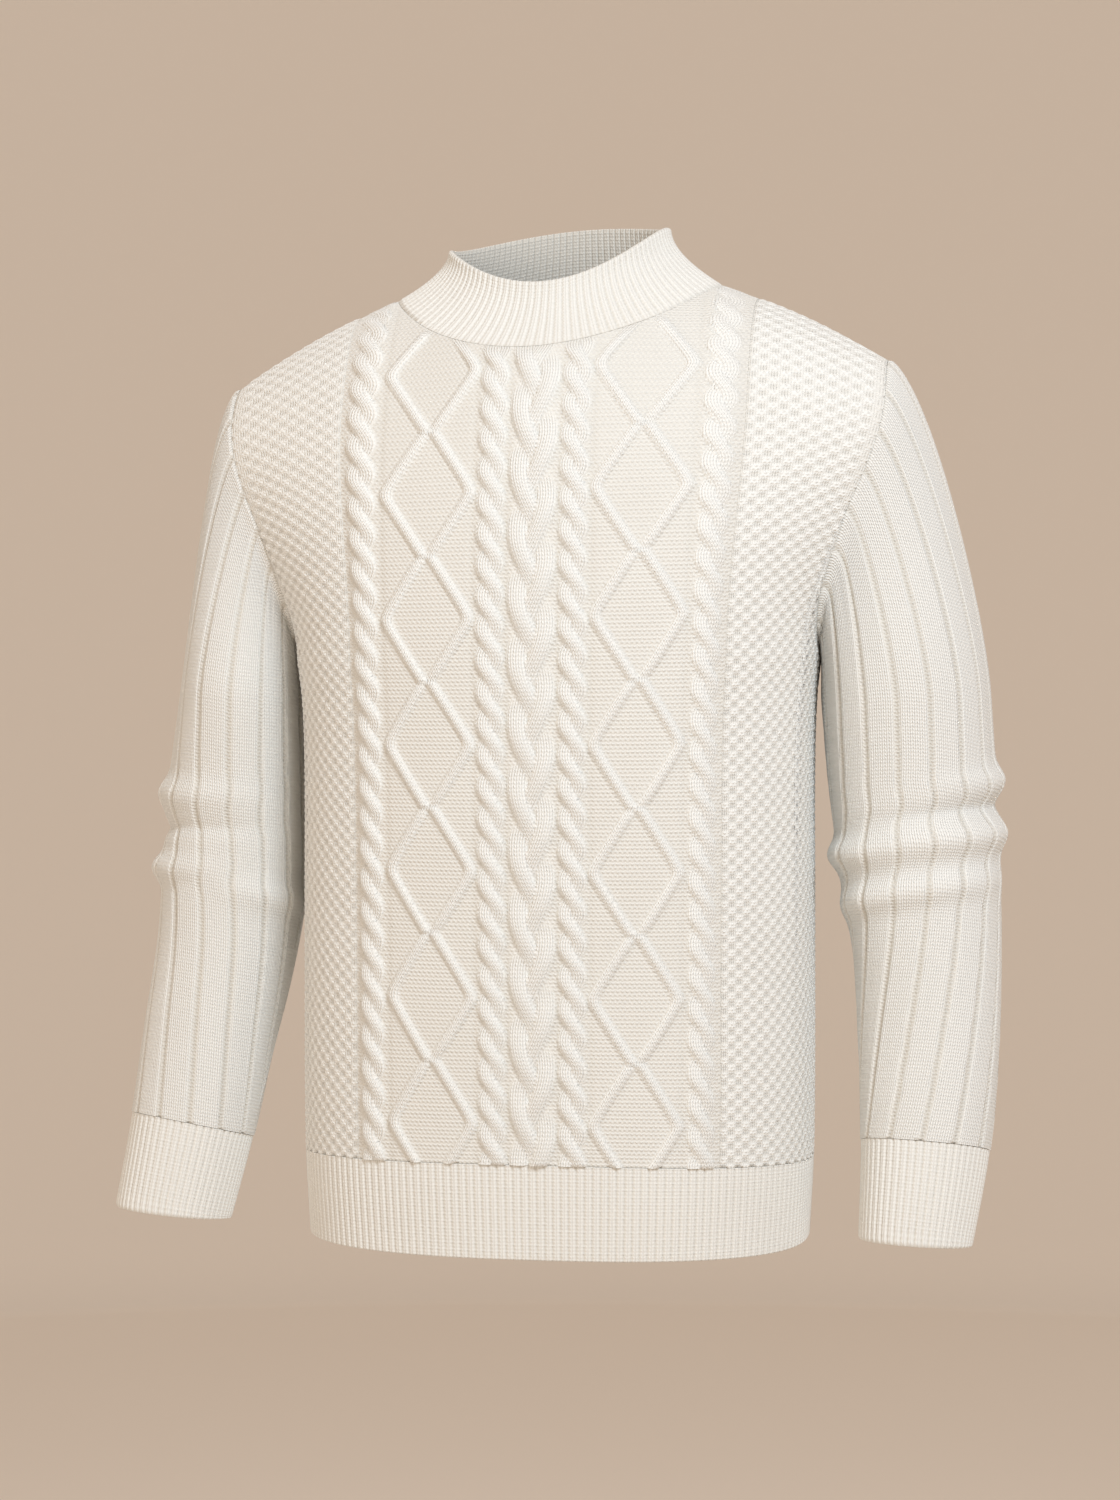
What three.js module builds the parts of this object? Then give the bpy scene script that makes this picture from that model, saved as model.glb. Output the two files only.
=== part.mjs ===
// Cable knit sweater with a ribbed mock neck, filled out as if worn, with nobody in it.
// Millimetres, +Z up. The front faces -Y and +X is the wearer's left.
// The origin lies midway between the two neck points, where the wearer's shoulders carry the garment.
import * as THREE from "three";

// Cloth: the plain wall, the gap that sewn pieces keep, and the fade of raised stitches at an edge.
const WALL = 2.2;
const SEAM_GAP = 0.3;
const SEAM_FADE = 22;
const CREAM = 0xefe9dc;

// Lengthwise sizes of the body, as heights of the finished garment.
const HEM_BOTTOM = -674;
const HEM_TOP = -607;
const HEM_DROP = 9;
const UNDERARM = -262;
const NECK_POINT = { x: 115, z: -8 };
const SHOULDER_TIP = { x: 231, z: -65 };
const SHOULDER_BOW = 4;
const NECK_DEPTH = { front: 100, back: 62 };

// Half the width of the front or back panel, knitted flat, and where armhole and neck leave it.
// Towards the shoulder tips the wales fan out, so the yoke is wider than the same wales below.
const PANEL_HALF = 252;
const ARMHOLE_HALF = 198;
const NECK_HALF = 110;
const YOKE_FAN = SHOULDER_TIP.x / ARMHOLE_HALF - 1;

// Level sections of the body: half width, depth to the front and to the back of the shoulder line.
const BODY_SECTIONS = [
  { z: -676, half: 176.5, front: 116, back: 110 },
  { z: -600, half: 179.5, front: 121, back: 114 },
  { z: -450, half: 179.5, front: 123, back: 114 },
  { z: -340, half: 179, front: 126, back: 117 },
  { z: -292, half: 180.5, front: 127, back: 118 },
  { z: -262, half: 184, front: 127, back: 119 },
];
const BODY_SQUARENESS = 2.5;
const ARCH_SQUARENESS = 2.3;
const RIDGE_Y = 6;
const RIDGE_RISE = 38;
const SHOULDER_TILT = 0.036;
const NECK_TILT = 0.05;

// How far the armhole is cut in from the side seam, by height. Above it runs straight up a wale.
const ARMHOLE = [
  { z: -262, inset: 0 },
  { z: -256, inset: 14 },
  { z: -245, inset: 28 },
  { z: -226, inset: 40 },
  { z: -200, inset: 49 },
  { z: -168, inset: 54 },
];

// Raised stitches of the front, from the centre outwards.
const REPEAT = 86.4;
const ROPE = { period: REPEAT / 4, half: 10, height: 4.2 };
const ROPE_CENTRES = [-117, -28, 28, 117];
const BRAID = { period: REPEAT / 2, half: 16, height: 4.6 };
const DIAMOND = { reach: 28.5, half: 5.7, height: 3.2, first: 71 };
const DIAMOND_CENTRES = [-71.5, 71.5];

// Ribbing of hem, cuffs and collar, and the broad ribs of the sleeves.
const RIB = { pitch: 5.7, height: 1.3 };
const SLEEVE_RIB = { pitch: 22.5, groove: 2.4, height: 1.8 };

// Collar: the rim's half width and its front and back, each as depth and height.
const RIM = { half: 77, side: 31, tilt: 0.09, front: { y: -65, z: -3 }, back: { y: 60, z: 42 } };

// Sleeve sections below the cap, by the arm's centre line: half width across and half depth.
// Heights run down to the end of the cuff. "right" and "left" are the wearer's.
const SLEEVES = {
  right: {
    side: -1,
    sections: [
      { z: -292, x: -231, y: 16, wide: 43.5, deep: 76 },
      { z: -350, x: -236, y: 18, wide: 48, deep: 70 },
      { z: -410, x: -240, y: 16, wide: 50, deep: 63 },
      { z: -472, x: -246, y: 10, wide: 47.5, deep: 57 },
      { z: -540, x: -257, y: -2, wide: 44.5, deep: 51 },
      { z: -600, x: -266, y: -14, wide: 42, deep: 46 },
      { z: -664, x: -278, y: -27, wide: 39.5, deep: 39 },
    ],
    cuff: -602,
  },
  left: {
    side: 1,
    sections: [
      { z: -292, x: 244.5, y: 16, wide: 57, deep: 67 },
      { z: -350, x: 249, y: 16, wide: 56.5, deep: 64 },
      { z: -410, x: 255, y: 10, wide: 54, deep: 59 },
      { z: -472, x: 261, y: 2, wide: 49.5, deep: 55 },
      { z: -540, x: 263, y: -12, wide: 46.5, deep: 49 },
      { z: -600, x: 262, y: -26, wide: 43, deep: 45 },
      { z: -668, x: 256, y: -41, wide: 37.5, deep: 40 },
    ],
    cuff: -602,
  },
};
const ARM_SQUARENESS = 2.15;
const CAP = { startPull: 0.36, fold: 12, endPull: 0.8, out: 0.82, down: 0.57 };

// Creases pushed up at the elbows: height on the arm, where round the arm they are
// strongest (0 is the outer side, 0.5 the front), how far round they reach, and their size.
const CREASES = {
  right: [
    { z: -367, round: 0.05, reach: 0.75, size: 6, wide: 13, slant: 8 },
    { z: -392, round: 0.15, reach: 0.7, size: -3, wide: 8, slant: 14 },
    { z: -424, round: 0.0, reach: 0.65, size: 6.5, wide: 11, slant: 10 },
    { z: -436, round: 0.8, reach: 0.4, size: 3, wide: 12, slant: -12 },
  ],
  left: [
    { z: -355, round: 0.0, reach: 0.55, size: 5, wide: 12, slant: -6 },
    { z: -374, round: 0.2, reach: 0.6, size: -3, wide: 8, slant: -8 },
    { z: -395, round: 0.25, reach: 0.9, size: 6, wide: 12, slant: -10 },
    { z: -430, round: 0.6, reach: 0.8, size: 4.5, wide: 11, slant: -10 },
    { z: -398, round: 0.9, reach: 0.4, size: 5, wide: 11, slant: 4 },
  ],
};

const lerp = (a, b, t) => a + (b - a) * t;
const clamp = (v, low, high) => Math.min(high, Math.max(low, v));
const smooth = (t) => {
  const c = clamp(t, 0, 1);
  return c * c * (3 - 2 * c);
};
const range = (count, of) => Array.from({ length: count }, (_, i) => of(i));
const steps = (from, to, count) => range(count + 1, (i) => lerp(from, to, i / count));

// Smooth values of a table's columns at a height, for a table sorted by falling or rising z.
function rowAt(table, z) {
  const rows = table[0].z < table[table.length - 1].z ? table : [...table].reverse();
  const last = rows.length - 1;
  let i = 0;
  while (i < last - 1 && z > rows[i + 1].z) i += 1;
  const a = rows[i];
  const b = rows[i + 1];
  const span = b.z - a.z;
  const t = clamp((z - a.z) / span, 0, 1);
  const before = rows[Math.max(0, i - 1)];
  const after = rows[Math.min(last, i + 2)];
  const made = {};
  for (const key of Object.keys(a)) {
    const slopeA = (b[key] - before[key]) / (b.z - before.z);
    const slopeB = (after[key] - a[key]) / (after.z - a.z);
    made[key] =
      (2 * t ** 3 - 3 * t ** 2 + 1) * a[key] +
      (t ** 3 - 2 * t ** 2 + t) * span * slopeA +
      (3 * t ** 2 - 2 * t ** 3) * b[key] +
      (t ** 3 - t ** 2) * span * slopeB;
  }
  return made;
}

// A quarter of a superellipse from its middle (0, depth) to its side (half, 0), by share of its length.
function quarter(half, depth, squareness) {
  const samples = 96;
  const points = range(samples + 1, (i) => {
    const turn = (i / samples) * (Math.PI / 2);
    return {
      x: half * Math.sin(turn) ** (2 / squareness),
      y: depth * Math.cos(turn) ** (2 / squareness),
      at: 0,
    };
  });
  points[samples].y = 0;
  for (let i = 1; i <= samples; i += 1) {
    const a = points[i - 1];
    const b = points[i];
    b.at = a.at + Math.hypot(b.x - a.x, b.y - a.y);
  }
  return { points, length: points[samples].at };
}

function alongLine(points, at) {
  let low = 0;
  let high = points.length - 1;
  while (high - low > 1) {
    const middle = (low + high) >> 1;
    if (points[middle].at <= at) low = middle;
    else high = middle;
  }
  const a = points[low];
  const b = points[high];
  const t = (at - a.at) / (b.at - a.at || 1);
  return { x: lerp(a.x, b.x, t), y: lerp(a.y, b.y, t), z: lerp(a.z ?? 0, b.z ?? 0, t) };
}

// Where a wale meets the shoulder line, and the height of that line there.
function yokeX(across) {
  return across * (1 + YOKE_FAN * (across / ARMHOLE_HALF) ** 2);
}

function ridgeHeight(x) {
  const fall = (NECK_POINT.z - SHOULDER_TIP.z) / (SHOULDER_TIP.x - NECK_POINT.x);
  const inner = clamp(1 - x / NECK_POINT.x, 0, 1);
  const along = clamp((x - NECK_POINT.x) / (SHOULDER_TIP.x - NECK_POINT.x), 0, 1);
  const straight = NECK_POINT.z - Math.max(0, x - NECK_POINT.x) * fall;
  return straight + RIDGE_RISE * smooth(inner) + SHOULDER_BOW * Math.sin(Math.PI * along);
}

const quarterCache = new Map();
function bodyQuarter(z, depthKey) {
  const key = `${z.toFixed(2)} ${depthKey}`;
  if (!quarterCache.has(key)) {
    const row = rowAt(BODY_SECTIONS, z);
    quarterCache.set(key, quarter(row.half, row[depthKey], BODY_SQUARENESS));
  }
  return quarterCache.get(key);
}

// One wale above the underarm: it rises over the chest or back and bends in to the shoulder line.
const archCache = new Map();
function arch(across, depthKey) {
  const key = `${across.toFixed(3)} ${depthKey}`;
  if (archCache.has(key)) return archCache.get(key);
  const base = bodyQuarter(UNDERARM, depthKey);
  const foot = alongLine(base.points, (across / PANEL_HALF) * base.length);
  const facing = depthKey === "front" ? -1 : 1;
  const topX = yokeX(Math.min(across, ARMHOLE_HALF + 6));
  const ridge = ridgeHeight(topX);
  const samples = 120;
  const points = range(samples + 1, (i) => {
    const turn = (i / samples) * (Math.PI / 2);
    const rise = Math.sin(turn) ** (2 / ARCH_SQUARENESS);
    const left = i === samples ? 0 : Math.cos(turn) ** (2 / ARCH_SQUARENESS);
    const z = lerp(UNDERARM, ridge, rise);
    const spread = smooth((z - UNDERARM) / (SHOULDER_TIP.z - 20 - UNDERARM));
    return {
      x: lerp(foot.x, topX, spread),
      y: RIDGE_Y + (facing * foot.y - RIDGE_Y) * left,
      z,
      at: 0,
    };
  });
  points[0].y = facing * foot.y;
  for (let i = 1; i <= samples; i += 1) {
    const a = points[i - 1];
    const b = points[i];
    b.at = a.at + Math.hypot(b.x - a.x, b.y - a.y, b.z - a.z);
  }
  archCache.set(key, points);
  return points;
}

// A point of the body's cloth: s across the panel from its centre, t up from the top of the hem rib.
function bodyPoint(depthKey, s, t) {
  const across = Math.abs(s);
  const facing = depthKey === "front" ? -1 : 1;
  const under = UNDERARM - HEM_TOP;
  let at;
  if (t <= under) {
    const z = HEM_TOP + t;
    const ring = bodyQuarter(z, depthKey);
    const flat = alongLine(ring.points, (across / PANEL_HALF) * ring.length);
    at = { x: flat.x, y: facing * flat.y, z };
  } else {
    at = alongLine(arch(across, depthKey), t - under);
  }
  const x = s < 0 ? -at.x : at.x;
  const reach = t < 0 ? HEM_TOP - HEM_BOTTOM : 160;
  const drop = HEM_DROP * (across / PANEL_HALF) ** 2 * smooth(1 - Math.abs(t) / reach);
  const lift = SHOULDER_TILT * x * smooth((at.z + 420) / 300) - drop;
  return new THREE.Vector3(x, at.y, at.z + lift);
}

function normalOf(pointAt, s, t, flip) {
  const step = 1.5;
  const across = pointAt(s + step, t).sub(pointAt(s - step, t));
  const along = pointAt(s, t + step).sub(pointAt(s, t - step));
  const made = across.cross(along).normalize();
  return flip ? made.negate() : made;
}

// Where a wale of the body ends: at the armhole, the shoulder seam or the neck seam.
function topOf(depthKey, s) {
  const across = Math.abs(s);
  const under = UNDERARM - HEM_TOP;
  if (across > ARMHOLE_HALF) {
    const inset = PANEL_HALF - across;
    let i = 0;
    while (i < ARMHOLE.length - 2 && ARMHOLE[i + 1].inset < inset) i += 1;
    const a = ARMHOLE[i];
    const b = ARMHOLE[i + 1];
    const z = lerp(a.z, b.z, clamp((inset - a.inset) / (b.inset - a.inset), 0, 1));
    return under + heightAlong(arch(across, depthKey), z);
  }
  const line = arch(across, depthKey);
  if (across >= NECK_HALF) return under + line.at(-1).at;
  const round = Math.sqrt(1 - (across / NECK_HALF) ** 2);
  const depth = NECK_DEPTH[depthKey] * round;
  let i = 1;
  while (i < line.length - 1 && Math.abs(line[i].y - RIDGE_Y) > depth) i += 1;
  const [a, b] = [line[i - 1], line[i]];
  const [outside, inside] = [a, b].map((entry) => Math.abs(entry.y - RIDGE_Y));
  const at = lerp(a.at, b.at, clamp((outside - depth) / (outside - inside), 0, 1));
  return under + at + NECK_TILT * s * round;
}

function heightAlong(line, z) {
  let i = 1;
  while (i < line.length - 1 && line[i].z < z) i += 1;
  const a = line[i - 1];
  const b = line[i];
  return lerp(a.at, b.at, clamp((z - a.z) / (b.z - a.z), 0, 1));
}

// Heights of the raised stitches, in the front panel's own s and t.
function ropeHeight(d, t) {
  const dome = Math.sqrt(Math.max(0, 1 - (d / ROPE.half) ** 2));
  const strand = Math.abs(Math.sin((Math.PI * (t + d)) / ROPE.period)) ** 0.6;
  return ROPE.height * dome * lerp(0.4, 1, strand);
}

function braidHeight(d, t) {
  const dome = Math.max(0, 1 - (d / BRAID.half) ** 4);
  const turn = d < 0 ? (t + d) / BRAID.period : (t - d) / BRAID.period + 0.5;
  const strand = Math.abs(Math.sin(Math.PI * turn)) ** 0.6;
  return BRAID.height * dome * lerp(0.4, 1, strand);
}

function diamondHeight(d, t) {
  const swing = ((t - DIAMOND.first) / REPEAT) % 2;
  const turn = (swing + 2.5) % 2;
  const line = DIAMOND.reach * (turn < 1 ? 2 * turn - 1 : 3 - 2 * turn);
  const off = Math.min(Math.abs(d - line), Math.abs(d + line));
  return DIAMOND.height * Math.max(0, 1 - off / DIAMOND.half);
}

function frontHeight(s, t) {
  const rope = ROPE_CENTRES.find((c) => Math.abs(s - c) <= ROPE.half);
  if (rope !== undefined) return ropeHeight(s - rope, t);
  if (Math.abs(s) <= BRAID.half) return braidHeight(s, t);
  const diamond = DIAMOND_CENTRES.find((c) => Math.abs(s - c) <= DIAMOND.reach + DIAMOND.half);
  return diamond === undefined ? 0 : diamondHeight(s - diamond, t);
}

// Places along a closed line are counted up to this number.
const ROUND = 1000;

// A closed cloth wall is gathered as points and triangles, and its sides are zipped from lines of points.
class Wall {
  constructor(flip = false) {
    this.points = [];
    this.faces = [];
    this.flip = flip;
  }

  add(point, height = 0) {
    this.points.push({ point, height });
    return this.points.length - 1;
  }

  face(a, b, c) {
    if (a === b || b === c || a === c) return;
    this.faces.push(this.flip ? [a, c, b] : [a, b, c]);
  }

  // Triangles between two lines of { id, at }; diagonals run along the raised stitches.
  zip(first, second, secondLeads = false) {
    let i = 0;
    let j = 0;
    const high = (entry) => this.points[entry.id].height;
    while (i < first.length - 1 || j < second.length - 1) {
      let advanceFirst = j === second.length - 1;
      if (!advanceFirst && i < first.length - 1) {
        const lead = first[i + 1].at - second[j + 1].at;
        advanceFirst = lead < 0;
        if (Math.abs(lead) < 0.05) {
          const rising = [high(first[i]), high(second[j + 1])];
          const falling = [high(first[i + 1]), high(second[j])];
          const uneven = Math.abs(falling[0] - falling[1]) - Math.abs(rising[0] - rising[1]);
          const lower = rising[0] + rising[1] - falling[0] - falling[1];
          advanceFirst = Math.abs(uneven) > 0.05 ? uneven < 0 : lower < (secondLeads ? -0.01 : 0.01);
        }
      }
      if (advanceFirst) {
        this.face(first[i].id, second[j].id, first[i + 1].id);
        i += 1;
      } else {
        this.face(first[i].id, second[j].id, second[j + 1].id);
        j += 1;
      }
    }
  }

  mesh(name, roughness = 0.9) {
    const geometry = new THREE.BufferGeometry();
    const flat = this.points.flatMap(({ point }) => point.toArray());
    geometry.setAttribute("position", new THREE.Float32BufferAttribute(flat, 3));
    geometry.setIndex(this.faces.flat());
    geometry.computeVertexNormals();
    const material = new THREE.MeshStandardMaterial({ color: CREAM, roughness, metalness: 0 });
    const made = new THREE.Mesh(geometry, material);
    made.name = name;
    return made;
  }
}

// Rows of a column between its ends, keeping clear of them.
function rowsBetween(bottom, top, list, clear = 2.5) {
  return [bottom, ...list.filter((t) => t > bottom + clear && t < top - clear), top];
}

function repeated(from, to, step, offset = 0) {
  const first = Math.ceil((from - offset) / step);
  const last = Math.floor((to - offset) / step);
  return range(Math.max(0, last - first + 1), (i) => offset + (first + i) * step);
}

// A flat-knitted panel: outer columns carry the raised stitches, inner columns are plain.
function panel(name, depthKey, outerColumns, innerColumns, heightAt, cutOut = true) {
  const flip = depthKey === "back";
  const wall = new Wall(flip);
  const pointAt = (s, t) => bodyPoint(depthKey, s, t);
  const place = (column, offset, raised) =>
    column.rows.map((t) => {
      const height = raised ? heightAt(column.s, t) * smooth((column.rows.at(-1) - t) / SEAM_FADE) : 0;
      const out = normalOf(pointAt, column.s, t, flip);
      const point = pointAt(column.s, t).addScaledVector(out, offset + height);
      return { id: wall.add(point, height), at: t + column.slant, t, s: column.s };
    });
  const outer = outerColumns.map((column) => place(column, WALL / 2, true));
  const inner = innerColumns.map((column) => place(column, -WALL / 2, false));
  const straight = (line, slant) => line.map((entry) => ({ ...entry, at: entry.at - slant }));
  // Beside the armhole's straight part there is no cloth, so the wale there is joined only below it.
  const foot = cutOut ? armholeRows(depthKey)[0] : 0;
  const isBorder = (line) => cutOut && Math.abs(line[0].s) === ARMHOLE_HALF;
  const beside = (line, other) => {
    const outside = isBorder(line) && Math.abs(other[0].s) > ARMHOLE_HALF;
    return outside ? line.filter((entry) => entry.t < foot + 0.01) : line;
  };
  const join = (first, second) => wall.zip(beside(first, second), beside(second, first));
  for (let i = 1; i < outer.length; i += 1) {
    const [a, b] = [outerColumns[i - 1], outerColumns[i]];
    if (a.motif === b.motif) join(outer[i - 1], outer[i]);
    else join(straight(outer[i - 1], a.slant), straight(outer[i], b.slant));
  }
  for (let i = 1; i < inner.length; i += 1) join(inner[i], inner[i - 1]);
  wall.zip(outer.at(-1), inner.at(-1));
  wall.zip(inner[0], outer[0]);
  const across = (lines, pick) => lines.map((line) => ({ ...line.at(pick), at: line[0].s }));
  wall.zip(across(outer, 0), across(inner, 0));
  const yoke = (lines) => (cutOut ? lines.filter((line) => Math.abs(line[0].s) <= ARMHOLE_HALF) : lines);
  wall.zip(across(yoke(inner), -1), across(yoke(outer), -1));
  if (cutOut) {
    const armhole = (lines, side) => {
      const outside = lines.filter((line) => side * line[0].s > ARMHOLE_HALF);
      const border = lines.find((line) => line[0].s === side * ARMHOLE_HALF);
      const tops = (side > 0 ? outside.reverse() : outside).map((line) => line.at(-1));
      const made = [...tops, ...border.filter((entry) => entry.t > foot - 0.01)];
      return made.map((entry, i) => ({ ...entry, at: i }));
    };
    wall.zip(armhole(outer, 1), armhole(inner, 1), depthKey === "front");
    wall.zip(armhole(inner, -1), armhole(outer, -1), depthKey === "back");
  }
  return wall.mesh(name);
}

const GAP = SEAM_GAP / 2;
const SIDE = PANEL_HALF - GAP;
const bodyTop = (depthKey, s) => topOf(depthKey, s) - GAP;

// Rows of the armhole's straight part, up the wale that borders it.
function armholeRows(depthKey) {
  const under = UNDERARM - HEM_TOP;
  const line = arch(ARMHOLE_HALF, depthKey);
  const foot = under + heightAlong(line, ARMHOLE.at(-1).z);
  return steps(foot, bodyTop(depthKey, ARMHOLE_HALF), 7);
}

// Wales at which the armhole edge bends, shared by both panels and the sleeve.
const ARMHOLE_WALES = [SIDE, 245, 238, 230, 222, 214, 207, 201];
const MOSS_WALES = [178, 158, 140];

// A column belongs to a motif; inside it rows are joined along the slant of its strands.
function columnAt(depthKey, s, rows, motif = "plain", slant = 0) {
  if (Math.abs(s) === ARMHOLE_HALF) {
    const edge = armholeRows(depthKey);
    return { s, rows: [...rowsBetween(0, edge[0], rows), ...edge.slice(1)], motif, slant };
  }
  return { s, rows: rowsBetween(0, bodyTop(depthKey, s), rows), motif, slant };
}

function plainRows(spacing, archSpacing) {
  const under = UNDERARM - HEM_TOP;
  return [...repeated(0, under - 8, spacing), ...repeated(under, 700, archSpacing, under)];
}

function frontColumns() {
  const plain = plainRows(58, 30);
  const ropeRows = (d) => repeated(-20, 720, ROPE.period / 3, -d);
  const braidRows = (d) => repeated(-20, 720, BRAID.period / 4, Math.abs(d));
  const diamondRows = repeated(-20, 720, REPEAT / 10, DIAMOND.first);
  const columns = [];
  const add = (s, ...rest) => columns.push(columnAt("front", s, ...rest));
  for (const side of [-1, 1]) {
    for (const s of [...ARMHOLE_WALES, ARMHOLE_HALF, ...MOSS_WALES]) add(side * s, plain);
  }
  for (const centre of ROPE_CENTRES) {
    for (const d of [-7, 0, 7]) add(centre + d, ropeRows(d), `rope ${centre}`, d);
    for (const d of [-10, 10]) add(centre + d, repeated(-20, 720, ROPE.period, -d));
  }
  for (const d of [-10.5, -4.5, 0, 4.5, 10.5]) add(d, braidRows(d), "braid", -Math.abs(d));
  for (const d of [-16, 16]) add(d, repeated(-20, 720, BRAID.period / 2, 6));
  const cell = DIAMOND.reach / 5;
  for (const centre of DIAMOND_CENTRES) {
    for (const k of range(11, (i) => i - 5)) add(centre + k * cell, diamondRows);
  }
  return columns.sort((a, b) => a.s - b.s);
}

function plainColumns(depthKey, wales, spacing, archSpacing) {
  const rows = plainRows(spacing, archSpacing);
  const all = [...wales.map((s) => -s), ...wales].filter((s, i, list) => list.indexOf(s) === i);
  return all.sort((a, b) => a - b).map((s) => columnAt(depthKey, s, rows));
}

const NECK_WALES = [NECK_HALF, 107, 100, 94.3, 77.2, 54.4, 35, 16, 0];
const INNER_WALES = [...ARMHOLE_WALES, ARMHOLE_HALF, 172, 140, ...NECK_WALES];

function makeFront() {
  const inner = plainColumns("front", INNER_WALES, 115, 42);
  return panel("front", "front", frontColumns(), inner, frontHeight);
}

function makeBack() {
  const inner = plainColumns("back", INNER_WALES, 115, 42);
  const outer = plainColumns("back", INNER_WALES, 115, 42);
  return panel("back", "back", outer, inner, () => 0);
}

// Half of the hem rib, from side seam to side seam.
function makeHem(name, depthKey) {
  const count = Math.round((2 * PANEL_HALF) / RIB.pitch);
  const wales = steps(-SIDE, SIDE, 2 * count);
  const height = (i) => (i % 2 ? RIB.height : 0);
  const rows = [HEM_BOTTOM - HEM_TOP, -SEAM_GAP];
  const column = (s) => ({ s, rows, slant: 0 });
  const outer = wales.map(column);
  const inner = steps(-SIDE, SIDE, 28).map(column);
  const order = new Map(wales.map((s, i) => [s, i]));
  return panel(name, depthKey, outer, inner, (s) => height(order.get(s)), false);
}

// An open edge is a line of { point, out }, measured along from its first point. "beside" is the
// place of the neighbouring piece, a seam's gap away towards the given middle of the opening.
function measure(line, middle) {
  line[0].at = 0;
  for (let i = 1; i < line.length; i += 1) {
    line[i].at = line[i - 1].at + line[i].point.distanceTo(line[i - 1].point);
  }
  line.forEach((entry, i) => {
    const before = line[Math.max(0, i - 1)].point;
    const after = line[Math.min(line.length - 1, i + 1)].point;
    const aside = entry.out.clone().cross(after.clone().sub(before)).normalize();
    if (aside.dot(middle.clone().sub(entry.point)) < 0) aside.negate();
    entry.beside = entry.point.clone().addScaledVector(aside, SEAM_GAP);
  });
}

function edgeAt(line, at) {
  let i = 1;
  while (i < line.length - 1 && line[i].at < at) i += 1;
  const t = clamp((at - line[i - 1].at) / (line[i].at - line[i - 1].at), 0, 1);
  return {
    point: line[i - 1].beside.clone().lerp(line[i].beside, t),
    out: line[i - 1].out.clone().lerp(line[i].out, t).normalize(),
  };
}

// The armhole as one closed line: 0 at the shoulder tip, 0.5 at the front, 1 at the underarm.
function armholeLine(side, depthKey) {
  const pointAt = (s, t) => bodyPoint(depthKey, s, t);
  const border = armholeRows(depthKey).reverse().map((t) => [side * ARMHOLE_HALF, t]);
  const curve = [...ARMHOLE_WALES].reverse().map((across) => [side * across, bodyTop(depthKey, across)]);
  return [...border, ...curve].map(([s, t]) => {
    const out = normalOf(pointAt, s, t, depthKey === "back");
    return { point: pointAt(s, t), out };
  });
}

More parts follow.
